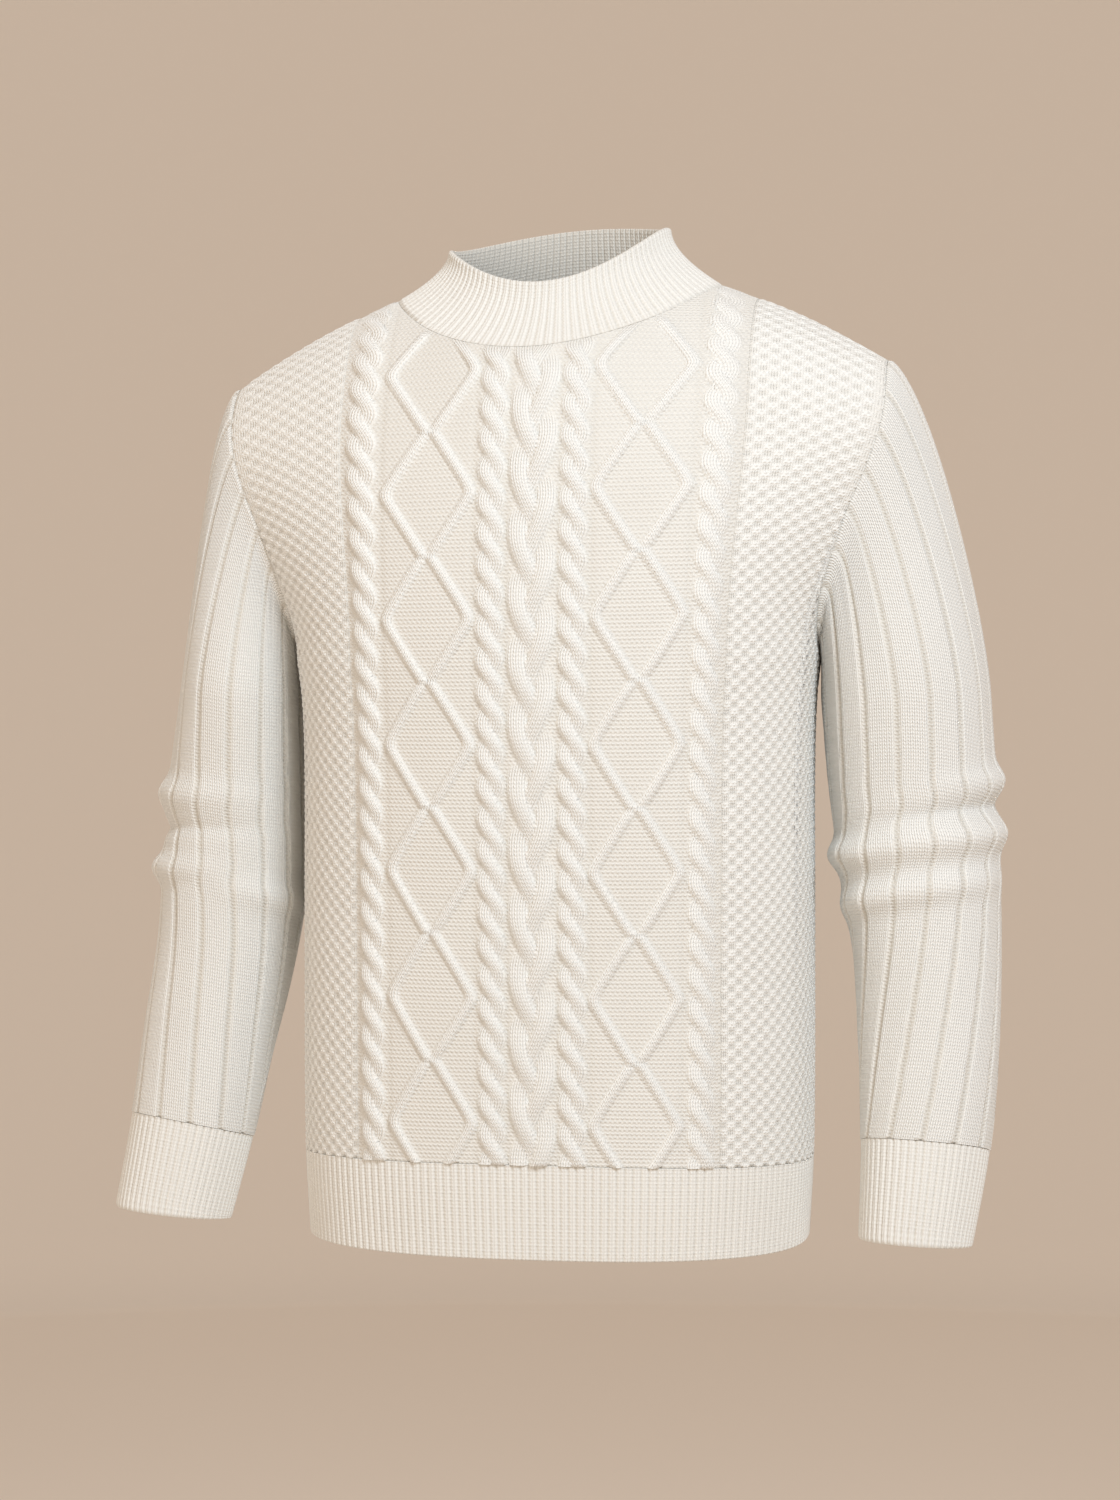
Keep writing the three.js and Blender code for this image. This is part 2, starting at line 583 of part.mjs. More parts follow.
// Each sleeve runs from the armhole to the cuff. "round" is -1 to 1 from the seam under the arm
// over the back, the outer side (0) and the front (positive), back to the seam.
function makeSleeveForm({ side, sections, cuff }, creases) {
  const edges = { front: armholeLine(side, "front"), back: armholeLine(side, "back") };
  const middle = new THREE.Vector3(side * 226, RIDGE_Y, -170);
  for (const line of Object.values(edges)) measure(line, middle);
  const armhole = (round) => {
    const line = round >= 0 ? edges.front : edges.back;
    return edgeAt(line, Math.abs(round) * line.at(-1).at);
  };
  const ringCache = new Map();
  const ringAt = (z) => {
    const key = z.toFixed(2);
    if (!ringCache.has(key)) {
      const row = rowAt(sections, z);
      const up = rowAt(sections, z + 6);
      const down = rowAt(sections, z - 6);
      const axis = new THREE.Vector3(up.x - down.x, up.y - down.y, 12).normalize();
      const outward = new THREE.Vector3(side, 0, 0);
      outward.addScaledVector(axis, -outward.dot(axis)).normalize();
      const forward = new THREE.Vector3(0, -1, 0);
      forward.addScaledVector(axis, -forward.dot(axis));
      forward.addScaledVector(outward, -forward.dot(outward)).normalize();
      const arc = quarter(row.deep, row.wide, ARM_SQUARENESS);
      ringCache.set(key, { centre: new THREE.Vector3(row.x, row.y, z), outward, forward, arc });
    }
    return ringCache.get(key);
  };
  const halfRound = (z) => 2 * ringAt(z).arc.length;
  const first = sections[0].z;
  // A point of the arm's ring, with "around" the distance from the outer line along the cloth.
  const onRing = (z, around) => {
    const { centre, outward, forward, arc } = ringAt(z);
    const share = clamp(Math.abs(around) / arc.length, 0, 2);
    const flat = alongLine(arc.points, (share <= 1 ? share : 2 - share) * arc.length);
    const out = share <= 1 ? flat.y : -flat.y;
    const front = around >= 0 ? flat.x : -flat.x;
    const point = centre.clone().addScaledVector(outward, out).addScaledVector(forward, front);
    const swell = creases.reduce((sum, crease) => {
      const round = around / (2 * arc.length);
      const off = (round - crease.round + 3) % 2 - 1;
      const fade = smooth(1 - Math.abs(off) / crease.reach);
      const place = crease.z + crease.slant * off;
      return sum + crease.size * fade * Math.exp(-(((z - place) / crease.wide) ** 2));
    }, 0);
    const away = point.clone().sub(centre).normalize();
    return point.addScaledVector(away, swell);
  };
  const start = new THREE.Vector3(side * CAP.out, 0, -CAP.down).normalize();
  // It leaves along the body's surface, but under the arm it folds over and stands off from it.
  const folding = (round) => 1 - smooth((1 - Math.abs(round)) / 0.6);
  const leaving = (out, round) => {
    const made = start.clone().addScaledVector(out, start.dot(out) * (folding(round) - 1));
    made.z += 1.2 * folding(round);
    return made.normalize();
  };
  // cap is 1 at the armhole and 0 at the first full ring.
  const onCap = (cap, round) => {
    const { point, out } = armhole(round);
    const end = onRing(first, round * halfRound(first));
    const below = onRing(first - 4, round * halfRound(first - 4));
    const span = point.distanceTo(end);
    const t = 1 - cap;
    const leave = leaving(out, round).multiplyScalar(span * CAP.startPull + CAP.fold * folding(round));
    const arrive = below.sub(end).normalize().multiplyScalar(span * CAP.endPull);
    return point
      .clone()
      .multiplyScalar(2 * t ** 3 - 3 * t ** 2 + 1)
      .addScaledVector(leave, t ** 3 - 2 * t ** 2 + t)
      .addScaledVector(end, 3 * t ** 2 - 2 * t ** 3)
      .addScaledVector(arrive, t ** 3 - t ** 2);
  };
  return { side, armhole, onRing, onCap, halfRound, first, cuff, bottom: sections.at(-1).z, edges };
}

// The outward direction of a tube's cloth at a point given by two parameters.
function tubeNormal(pointAt, a, b, stepA, stepB, centre) {
  const along = pointAt(a + stepA, b).sub(pointAt(a - stepA, b));
  const around = pointAt(a, b + stepB).sub(pointAt(a, b - stepB));
  const made = along.cross(around).normalize();
  return made.dot(pointAt(a, b).sub(centre)) < 0 ? made.negate() : made;
}

function makeSleeve(name, form, heightAt) {
  const { side, first } = form;
  const wall = new Wall(side < 0);
  const half = form.halfRound(first);
  const capPoint = (cap, round) => form.onCap(clamp(cap, 0, 1), clamp(round, -1, 1));
  const ringPoint = (z, around) => form.onRing(z, around);
  const capRows = [0.945, 0.83, 0.64, 0.43, 0.2, 0];
  const creaseRows = [-340, -352, -362, -374, -385, -396, -408, -420, -432, -446];
  const ringRows = [first - 24, ...creaseRows, -480, -540, form.cuff + SEAM_GAP];
  const capOut = (cap, round) => {
    const { point, out } = form.armhole(round);
    const centre = new THREE.Vector3(side * 225, RIDGE_Y, -190).lerp(point, 0.2);
    const ring = form.onRing(first, 0).clone().add(form.onRing(first, half)).multiplyScalar(0.5);
    const made = tubeNormal(capPoint, cap, round, 0.02, 0.01, centre.lerp(ring, 1 - cap));
    return made.lerp(out, smooth((cap - 0.5) / 0.5) * 0.8).normalize();
  };
  const ringOut = (z, around) => {
    const opposite = form.onRing(z, form.halfRound(z));
    const centre = form.onRing(z, 0).add(opposite).multiplyScalar(0.5);
    return tubeNormal(ringPoint, z, around, 2, 1.5, centre);
  };
  // One line of cloth down the sleeve, at a fixed distance from the outer line.
  const column = (around, offset, raised, ringList) => {
    const round = around / half;
    const made = capRows.map((cap) => {
      const height = raised ? heightAt(around) : 0;
      const point = capPoint(cap, round).addScaledVector(capOut(cap, round), offset + height);
      return { point, height, at: -capRows.indexOf(cap) };
    });
    let rank = capRows.length;
    for (const z of ringList) {
      const seam = form.halfRound(z);
      const height = raised ? heightAt(around) : 0;
      const reached = Math.abs(around) >= seam - 5;
      const at = -rank;
      rank += 1;
      if (reached) {
        made.push({ merged: true, at });
      } else {
        const point = ringPoint(z, around).addScaledVector(ringOut(z, around), offset + height);
        made.push({ point, height, at });
      }
    }
    return made;
  };
  const seamColumn = (offset, ringList) => {
    const made = capRows.map((cap) => {
      const point = capPoint(cap, 1).addScaledVector(capOut(cap, 0.999), offset);
      return { point, height: 0, at: -capRows.indexOf(cap) };
    });
    for (const z of ringList) {
      const around = form.halfRound(z);
      const point = ringPoint(z, around).addScaledVector(ringOut(z, around - 0.5), offset);
      made.push({ point, height: 0, at: -made.length });
    }
    return made;
  };
  const build = (wales, offset, raised, ringList) => {
    const seam = seamColumn(offset, ringList).map((entry) => ({
      id: wall.add(entry.point, entry.height),
      at: -entry.at,
    }));
    const lines = wales.map((around) =>
      column(around, offset, raised, ringList).map((entry, i) =>
        entry.merged ? seam[i] : { id: wall.add(entry.point, entry.height), at: -entry.at },
      ),
    );
    return [seam, ...lines, seam];
  };
  const outerWales = sleeveWales(half);
  const innerWales = steps(-half, half, 18).slice(1, -1);
  const outer = build(outerWales, WALL / 2, true, ringRows);
  const innerRings = ringRows.filter((z, i) => i % 2 === 0 || i === ringRows.length - 1);
  const inner = build(innerWales, -WALL / 2, false, innerRings);
  for (let i = 1; i < outer.length; i += 1) wall.zip(outer[i - 1], outer[i]);
  for (let i = 1; i < inner.length; i += 1) wall.zip(inner[i], inner[i - 1]);
  const tops = (lines, wales) =>
    lines.map((line, i) => ({ id: line[0].id, at: i === 0 ? -half : (wales[i - 1] ?? half) }));
  const seamRing = (offset) => {
    const place = (line, way) => (entry) => ({
      id: wall.add(entry.beside.clone().addScaledVector(entry.out, offset)),
      at: (way * half * entry.at) / line.at(-1).at,
    });
    const { front, back } = form.edges;
    const behind = back.slice(1).reverse().map(place(back, -1));
    return [...behind, ...front.slice(0, -1).map(place(front, 1)), { id: behind[0].id, at: half }];
  };
  const outerRing = seamRing(WALL / 2);
  const innerRing = seamRing(-WALL / 2);
  wall.zip(tops(outer, outerWales), outerRing);
  wall.zip(innerRing, tops(inner, innerWales));
  wall.zip(outerRing, innerRing);
  const rim = (lines, pick) => lines.map((line, i) => ({ id: line.at(pick).id, at: (ROUND * i) / (lines.length - 1) }));
  wall.zip(rim(inner, -1), rim(outer, -1));
  return wall.mesh(name);
}

// Edges and bottoms of the grooves between a sleeve's broad ribs.
function sleeveWales(half) {
  const { pitch, groove } = SLEEVE_RIB;
  const grooves = repeated(-half + 6, half - 6, pitch, pitch / 2);
  return grooves.flatMap((s) => [s - groove, s, s + groove]).filter((s) => Math.abs(s) < half - 3);
}

function sleeveRibHeight(around) {
  const { pitch, groove, height } = SLEEVE_RIB;
  const off = Math.abs(((around / pitch) % 1 + 1) % 1 - 0.5) * pitch;
  return height * clamp(off / groove, 0, 1);
}

// A rib tube between two closed lines: ribs count alternates ridge and valley.
function ribTube(name, ribs, levels, pointAt, outAt, flip, innerCount, base) {
  const wall = new Wall(flip);
  const line = (round, offset, height) =>
    levels.map((level) => {
      const point = pointAt(level, round).addScaledVector(outAt(level, round), offset + height);
      return { id: wall.add(point, height), at: level };
    });
  const ring = (count, offset, heightOf) => {
    const made = range(count, (i) => line(i / count, offset, heightOf(i)));
    return [...made, made[0]];
  };
  const outer = ring(2 * ribs, WALL / 2, (i) => (i % 2 ? RIB.height : 0));
  const inner = ring(innerCount, -WALL / 2, () => 0);
  for (let i = 1; i < outer.length; i += 1) wall.zip(outer[i - 1], outer[i]);
  for (let i = 1; i < inner.length; i += 1) wall.zip(inner[i], inner[i - 1]);
  const rim = (lines, pick) => lines.map((entry, i) => ({ id: entry.at(pick).id, at: (ROUND * i) / (lines.length - 1) }));
  if (base) {
    // The foot of the tube follows the seam's own points.
    const foot = (offset) => {
      const made = base.map(({ beside, out, round }) => ({
        id: wall.add(beside.clone().addScaledVector(out, offset)),
        at: ROUND * round,
      }));
      return [...made, { ...made[0], at: ROUND }];
    };
    const [outerFoot, innerFoot] = [foot(WALL / 2), foot(-WALL / 2)];
    wall.zip(rim(outer, 0), outerFoot);
    wall.zip(innerFoot, rim(inner, 0));
    wall.zip(outerFoot, innerFoot);
  } else {
    wall.zip(rim(outer, 0), rim(inner, 0));
  }
  wall.zip(rim(inner, -1), rim(outer, -1));
  return wall.mesh(name);
}

function makeCuff(name, form) {
  const top = form.cuff;
  const bottom = form.bottom;
  const pointAt = (level, round) => {
    const z = lerp(bottom, top, level);
    const around = ((round * 2 + 1) % 2) - 1;
    return form.onRing(z, around * form.halfRound(z));
  };
  const outAt = (level, round) => {
    const centre = pointAt(level, 0).add(pointAt(level, 0.5)).multiplyScalar(0.5);
    const step = (l, r) => pointAt(clamp(l, 0, 1), (r + 1) % 1);
    return tubeNormal(step, level, round, 0.03, 0.004, centre);
  };
  const ribs = Math.round((2 * form.halfRound(lerp(bottom, top, 0.5))) / RIB.pitch);
  return ribTube(name, ribs, [0, 1], pointAt, outAt, form.side > 0, 20);
}

// The neck seam in two halves: across the front, then back again behind.
function neckHalves() {
  const right = NECK_WALES.slice(0, -1);
  const wales = [...right.map((s) => -s), ...[...NECK_WALES].reverse()];
  const edge = (depthKey) =>
    wales.map((s) => {
      const t = bodyTop(depthKey, s);
      const pointAt = (a, b) => bodyPoint(depthKey, a, b);
      return { point: pointAt(s, t), out: normalOf(pointAt, s, t, depthKey === "back") };
    });
  return [edge("front"), edge("back").reverse()];
}

function makeCollar() {
  const halves = neckHalves();
  for (const line of halves) measure(line, new THREE.Vector3(0, -15, 0));
  const seamAt = (round) => {
    const share = ((round % 1) + 1) % 1;
    const line = share < 0.5 ? halves[0] : halves[1];
    return edgeAt(line, ((share * 2) % 1) * line.at(-1).at);
  };
  const rimAt = (round) => {
    const turn = round * 2 * Math.PI;
    const forward = Math.sin(turn);
    const end = forward > 0 ? RIM.front : RIM.back;
    const x = -RIM.half * Math.cos(turn);
    const z = lerp(RIM.side, end.z, forward ** 2);
    return new THREE.Vector3(x, end.y * Math.abs(forward), z + RIM.tilt * x);
  };
  const pointAt = (level, round) => {
    const from = seamAt(round).point;
    const to = rimAt(round);
    const inward = to.clone().sub(from).setZ(0);
    const rise = to.z - from.z;
    const lean = Math.sin((level * Math.PI) / 2) ** 0.9;
    return from.clone().addScaledVector(inward, lean).setZ(from.z + rise * level);
  };
  const outAt = (level, round) => {
    const { out } = seamAt(round);
    if (level === 0) return out;
    const centre = new THREE.Vector3(0, 0, pointAt(level, round).z);
    const step = (l, r) => pointAt(clamp(l, 0, 1), r);
    const made = tubeNormal(step, level, round, 0.05, 0.004, centre);
    return made.lerp(out, smooth(1 - level / 0.6) * 0.5).normalize();
  };
  const length = 2 * Math.PI * Math.sqrt((RIM.half ** 2 + RIM.front.y ** 2) / 2);
  const base = halves.flatMap((line, half) =>
    line.slice(0, -1).map((entry) => ({ ...entry, round: (half + entry.at / line.at(-1).at) / 2 })),
  );
  const ribs = Math.round(length / RIB.pitch);
  return ribTube("collar", ribs, [0.09, 0.45, 1], pointAt, outAt, false, 32, base);
}

const sweater = new THREE.Group();
const forms = {
  right: makeSleeveForm(SLEEVES.right, CREASES.right),
  left: makeSleeveForm(SLEEVES.left, CREASES.left),
};
sweater.add(makeFront(), makeBack());
sweater.add(makeHem("hem_rib_front", "front"), makeHem("hem_rib_back", "back"));
sweater.add(makeSleeve("sleeve_right", forms.right, sleeveRibHeight));
sweater.add(makeSleeve("sleeve_left", forms.left, sleeveRibHeight));
sweater.add(makeCuff("cuff_right", forms.right), makeCuff("cuff_left", forms.left));
sweater.add(makeCollar());

export default sweater;
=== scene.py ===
# Looks of the cable knit sweater: each sewn piece again, with its stitches, and a plain studio.
# Tables are in millimetres; meshes are made in metres. The front faces -Y, +X is the wearer's left.
import math

import bpy
import numpy as np
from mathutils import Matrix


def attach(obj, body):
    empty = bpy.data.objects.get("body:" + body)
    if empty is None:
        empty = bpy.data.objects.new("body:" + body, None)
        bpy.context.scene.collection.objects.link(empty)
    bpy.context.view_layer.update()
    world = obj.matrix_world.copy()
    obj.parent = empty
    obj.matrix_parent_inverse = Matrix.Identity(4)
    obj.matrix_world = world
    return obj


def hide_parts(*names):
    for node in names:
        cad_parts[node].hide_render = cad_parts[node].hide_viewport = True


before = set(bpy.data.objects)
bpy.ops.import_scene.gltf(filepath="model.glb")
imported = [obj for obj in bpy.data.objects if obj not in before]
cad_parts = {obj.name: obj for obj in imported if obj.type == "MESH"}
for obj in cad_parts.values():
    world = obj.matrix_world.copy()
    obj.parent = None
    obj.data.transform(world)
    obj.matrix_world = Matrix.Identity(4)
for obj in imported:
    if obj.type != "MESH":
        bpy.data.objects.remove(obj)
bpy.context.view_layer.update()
for loaded in bpy.context.selected_objects:
    loaded.select_set(False)
print("stage: frame loaded")

mm = 0.001

cloth = {
    "wall": 2.2,  # thickness of the plain fabric
    "gap": 0.3,  # between sewn pieces
    "seamFade": 12,  # raised stitches die away this close to a top seam
    "roundEdge": 2.0,  # open edges are rounded over this width
    "insideTone": -1.6,  # the inside is shaded as if it lay this deep
    "smoothAngle": 88,  # degrees; only edges sharper than this stay sharp
    "levelBelow": 15,  # the front's rows are level up to this far below the neck
}

body = {
    "hemTop": -607,
    "hemBottom": -674,
    "hemDrop": 9,  # the side seams hang lower than the middle
    "dropReach": 160,
    "underarm": -262,
    "panelHalf": 252,  # half width of a panel, knitted flat
    "armholeHalf": 198,
    "neckHalf": 110,
    "neckPointX": 115,
    "neckPointZ": -8,
    "shoulderTipX": 231,
    "shoulderTipZ": -65,
    "shoulderBow": 4,
    "neckDepth": {"front": 100, "back": 62},
    "squareness": 2.5,
    "archSquareness": 2.3,
    "ridgeY": 6,
    "ridgeRise": 38,
    "shoulderTilt": 0.036,  # the wearer's left shoulder is higher
    "tiltFrom": -420,
    "tiltReach": 300,
    "neckTilt": 0.05,
    "sections": [
        {"z": -676, "half": 176.5, "front": 116, "back": 110},
        {"z": -600, "half": 179.5, "front": 121, "back": 114},
        {"z": -450, "half": 179.5, "front": 123, "back": 114},
        {"z": -340, "half": 179, "front": 126, "back": 117},
        {"z": -292, "half": 180.5, "front": 127, "back": 118},
        {"z": -262, "half": 184, "front": 127, "back": 119},
    ],
    "armhole": [
        {"z": -262, "inset": 0},
        {"z": -256, "inset": 14},
        {"z": -245, "inset": 28},
        {"z": -226, "inset": 40},
        {"z": -200, "inset": 49},
        {"z": -168, "inset": 54},
    ],
}
under = body["underarm"] - body["hemTop"]


def smooth(t):
    c = np.clip(t, 0, 1)
    return c * c * (3 - 2 * c)


def blend(a, b, t):
    return a + (b - a) * t


def unit(v):
    return v / np.maximum(np.linalg.norm(v, axis=-1, keepdims=True), 1e-9)


# Distance along a line of points, from its first.
def alongLine(points):
    return np.concatenate([[0], np.cumsum(np.linalg.norm(np.diff(points, axis=0), axis=-1))])


# Smooth values of a table's columns at one or many heights.
def rowAt(table, z):
    rows = sorted(table, key=lambda row: row["z"])
    heights = np.array([row["z"] for row in rows], float)
    last = len(rows) - 1
    z = np.asarray(z, float)
    i = np.clip(np.searchsorted(heights, z, side="left") - 1, 0, last - 1)
    before, after = np.maximum(i - 1, 0), np.minimum(i + 2, last)
    span = heights[i + 1] - heights[i]
    t = np.clip((z - heights[i]) / span, 0, 1)
    made = {}
    for key in rows[0]:
        column = np.array([row[key] for row in rows], float)
        slopeA = (column[i + 1] - column[before]) / (heights[i + 1] - heights[before])
        slopeB = (column[after] - column[i]) / (heights[after] - heights[i])
        made[key] = (
            (2 * t**3 - 3 * t**2 + 1) * column[i]
            + (t**3 - 2 * t**2 + t) * span * slopeA
            + (3 * t**2 - 2 * t**3) * column[i + 1]
            + (t**3 - t**2) * span * slopeB
        )
    return made


# A quarter of a superellipse from its middle (0, depth) to its side (half, 0), by share of its length.
def quarter(half, depth, squareness, shares):
    turn = np.linspace(0, math.pi / 2, 97)
    x = half * np.sin(turn) ** (2 / squareness)
    y = depth * np.maximum(np.cos(turn), 0) ** (2 / squareness)
    y[-1] = 0
    along = alongLine(np.stack([x, y], -1))
    return np.interp(shares * along[-1], along, x), np.interp(shares * along[-1], along, y), along[-1]


# Reads a table of evenly spaced rows and columns between its entries.
def between(table, row, column):
    rows, columns = table.shape[:2]
    r = np.clip(row, 0, rows - 1.000001)
    c = np.clip(column, 0, columns - 1.000001)
    i, j = r.astype(int), c.astype(int)
    a, b = r - i, c - j
    return (
        table[i, j] * (1 - a) * (1 - b)
        + table[i + 1, j] * a * (1 - b)
        + table[i, j + 1] * (1 - a) * b
        + table[i + 1, j + 1] * a * b
    )


def yokeX(across):
    fan = body["shoulderTipX"] / body["armholeHalf"] - 1
    return across * (1 + fan * (across / body["armholeHalf"]) ** 2)


def ridgeHeight(x):
    run = body["shoulderTipX"] - body["neckPointX"]
    fall = (body["neckPointZ"] - body["shoulderTipZ"]) / run
    inner = np.clip(1 - x / body["neckPointX"], 0, 1)
    along = np.clip((x - body["neckPointX"]) / run, 0, 1)
    straight = body["neckPointZ"] - np.maximum(0, x - body["neckPointX"]) * fall
    return straight + body["ridgeRise"] * smooth(inner) + body["shoulderBow"] * np.sin(math.pi * along)


# The body's cloth below the underarm as level rings, and above it as arches up to the shoulder line.
ringStart, ringStep, archStep = -694, 2, 1.5
ringParts, archParts = 256, 240
ringShares = np.linspace(0, 1, ringParts + 1)
archShares = np.linspace(0, 1, archParts + 1)


def bodyTables(face):
    facing = -1 if face == "front" else 1
    heights = np.arange(ringStart, body["underarm"] + 0.1, ringStep)
    rows = rowAt(body["sections"], heights)
    ringX, ringY = [], []
    for half, depth in zip(rows["half"], rows[face]):
        x, y, _ = quarter(half, depth, body["squareness"], ringShares)
        ringX.append(x)
        ringY.append(facing * y)
    acrosses = np.arange(0, body["panelHalf"] + 0.1, archStep)
    footX = np.interp(acrosses / body["panelHalf"], ringShares, ringX[-1])
    footY = np.interp(acrosses / body["panelHalf"], ringShares, ringY[-1])
    turn = np.linspace(0, math.pi / 2, archParts + 1)
    rise = np.sin(turn) ** (2 / body["archSquareness"])
    left = np.maximum(np.cos(turn), 0) ** (2 / body["archSquareness"])
    left[-1] = 0
    archX, archY, archZ, lengths = [], [], [], []
    for i, across in enumerate(acrosses):
        topX = yokeX(min(across, body["armholeHalf"] + 6))
        z = blend(body["underarm"], ridgeHeight(topX), rise)
        spread = smooth((z - body["underarm"]) / (body["shoulderTipZ"] - 20 - body["underarm"]))
        x = blend(footX[i], topX, spread)
        y = body["ridgeY"] + (footY[i] - body["ridgeY"]) * left
        along = alongLine(np.stack([x, y, z], -1))
        for column, values in ((archX, x), (archY, y), (archZ, z)):
            column.append(np.interp(archShares * along[-1], along, values))
        lengths.append(along[-1])
    tables = {"ringX": ringX, "ringY": ringY, "archX": archX, "archY": archY, "archZ": archZ}
    tables["lengths"] = lengths
    return {key: np.array(values) for key, values in tables.items()}


bodyTable = {face: bodyTables(face) for face in ("front", "back")}


# A point of the body's cloth: s across the panel from its centre, t up from the top of the hem rib.
def bodyPoint(face, s, t):
    table = bodyTable[face]
    s, t = np.broadcast_arrays(np.asarray(s, float), np.asarray(t, float))
    across = np.abs(s)
    ringRow = (body["hemTop"] + np.minimum(t, under) - ringStart) / ringStep
    ringColumn = across / body["panelHalf"] * ringParts
    archRow = across / archStep
    length = np.interp(across, np.arange(len(table["lengths"])) * archStep, table["lengths"])
    archColumn = np.clip((t - under) / length, 0, 1) * archParts
    low = t <= under
    ring = [between(table[key], ringRow, ringColumn) for key in ("ringX", "ringY")]
    arch = [between(table[key], archRow, archColumn) for key in ("archX", "archY", "archZ")]
    x, y, z = [np.where(low, a, b) for a, b in zip(ring + [body["hemTop"] + t], arch)]
    x = np.where(s < 0, -x, x)
    reach = np.where(t < 0, body["hemTop"] - body["hemBottom"], body["dropReach"])
    drop = body["hemDrop"] * (across / body["panelHalf"]) ** 2 * smooth(1 - np.abs(t) / reach)
    tilt = body["shoulderTilt"] * smooth((z - body["tiltFrom"]) / body["tiltReach"])
    z = z + tilt * x - drop
    return np.stack([x, y, z], -1)


def bodyOut(face, s, t, step=1.5):
    across = bodyPoint(face, s + step, t) - bodyPoint(face, s - step, t)
    up = bodyPoint(face, s, t + step) - bodyPoint(face, s, t - step)
    out = unit(np.cross(across, up))
    return -out if face == "back" else out


def archLine(face, across):
    table = bodyTable[face]
    row = across / archStep
    column = np.arange(archParts + 1.0)
    length = np.interp(across, np.arange(len(table["lengths"])) * archStep, table["lengths"])
    y, z = [between(table[key], np.full(len(column), row), column) for key in ("archY", "archZ")]
    return archShares * length, y, z


# Where a wale ends: at the armhole, the shoulder seam or the neck seam.
def topOf(face, s):
    across = abs(s)
    along, y, z = archLine(face, across)
    if across > body["armholeHalf"] + 0.001:
        inset = body["panelHalf"] - across
        insets, heights = [[row[key] for row in body["armhole"]] for key in ("inset", "z")]
        return under + np.interp(np.interp(inset, insets, heights), z, along)
    if across >= body["neckHalf"]:
        return under + along[-1]
    turn = math.sqrt(1 - (across / body["neckHalf"]) ** 2)
    away = np.abs(y - body["ridgeY"])
    height = np.interp(body["neckDepth"][face] * turn, away[::-1], along[::-1])
    return under + height + body["neckTilt"] * s * turn


def bodyTop(face, s):
    return topOf(face, s) - cloth["gap"] / 2


def armholeFoot(face):
    along, _, z = archLine(face, body["armholeHalf"])
    return under + np.interp(body["armhole"][-1]["z"], z, along)


# Stitches of the front, and of the moss stitch and ribs.
cables = {
    "edge": 131,  # the moss stitch starts this far from the middle
    "repeat": 86.4,  # one diamond, and two turns of the braid
    "rope": {
        "turn": 21.6,
        "swing": 4.4,
        "half": 5.7,  # half the width of one strand
        "height": 4.3,
        "centres": (-117, -28, 28, 117),
        "reach": 10.3,
        "shift": 10.8,
        "deep": 0.4,  # how far a strand sinks where it passes under
        "outer": 105,  # ropes past this place flatten towards the shoulders
        "flatTop": 0.12,
        "fade": 110,
    },
    "braid": {
        "turn": 129.6,
        "swing": 9.6,
        "half": 6.7,
        "height": 4.7,
        "reach": 16.5,
        "start": 2.54,
        "deep": 0.46,
    },
    "diamond": {
        "reach": 30,
        "half": 3.5,
        "height": 2.8,
        "first": 71,
        "centres": (-71.5, 71.5),
        "field": 35,
        "corner": 3.4,
        "crossing": 4.6,
        "under": 0.85,  # how far the lower line sinks at a crossing
        "over": 0.12,
    },
    "channel": 0.5,  # how deep the purl channels beside ropes and braid lie
    "channels": (-130, -104, -40.5, -17.6, 17.6, 40.5, 104, 130),
    "channelHalf": 2.2,
    "knitWidth": 3.7,  # one stitch of the strands, a little coarse so that it shows
    "knitHeight": 2.7,
    "purlWidth": 3.3,
    "purlHeight": 2.7,
}

# The stitches fade over "start" beside the cables and over "border" along the armhole.
moss = {"width": 11.6, "height": 9.6, "relief": 1.4, "start": 4, "border": 8}

# A rib's pitch and height in mm; "stitch" is the width and height of one stitch on it.
ribs = {
    "hem": {"pitch": 5.6, "relief": 1.3, "stitch": (3.0, 2.5)},
    "cuff": {"pitch": 5.0, "relief": 1.3, "stitch": (2.7, 2.4)},
    "collar": {"pitch": 4.3, "relief": 1.2, "stitch": (2.2, 2.2), "inside": 0.7},
    "sleeve": {
        "pitch": 22.5,
        "groove": 2.6,
        "relief": 1.9,
        "lip": 0.35,  # a slight ridge along both sides of a groove
        "lipAt": 3.4,
        "lipHalf": 1.2,
        "stitch": (3.2, 2.5),
        "purl": (2.6, 2.5),
    },
}


def dome(off, half, power=0.5):
    return np.maximum(0, 1 - (off / half) ** 2) ** power


# Strands that pass over and under each other: the height above the ground, and each place's own strand.
def strands(d, paths, deep):
    height = np.zeros(d.shape)
    centre = np.zeros(d.shape)
    for x, front, half in paths:
        rise = dome(d - x, half, 0.45) * (1 - deep + deep * front)
        over = rise > height
        height = np.where(over, rise, height)
        centre = np.where(over, x, centre)
    return height, centre


def rope(d, t):
    form = cables["rope"]
    turn = math.pi * (t - form["shift"]) / form["turn"]
    turns = [turn + k * math.pi for k in (0, 1)]
    paths = [(-form["swing"] * np.sin(a), np.cos(a), form["half"]) for a in turns]
    height, centre = strands(d, paths, form["deep"])
    return height * form["height"], centre


def braid(d, t):
    form = cables["braid"]
    turn = 2 * math.pi * t / form["turn"] + form["start"]
    turns = [turn + k * 2 * math.pi / 3 for k in range(3)]
    paths = [(form["swing"] * np.sin(a), np.sin(2 * a), form["half"]) for a in turns]
    height, centre = strands(d, paths, form["deep"])
    return height * form["height"], centre


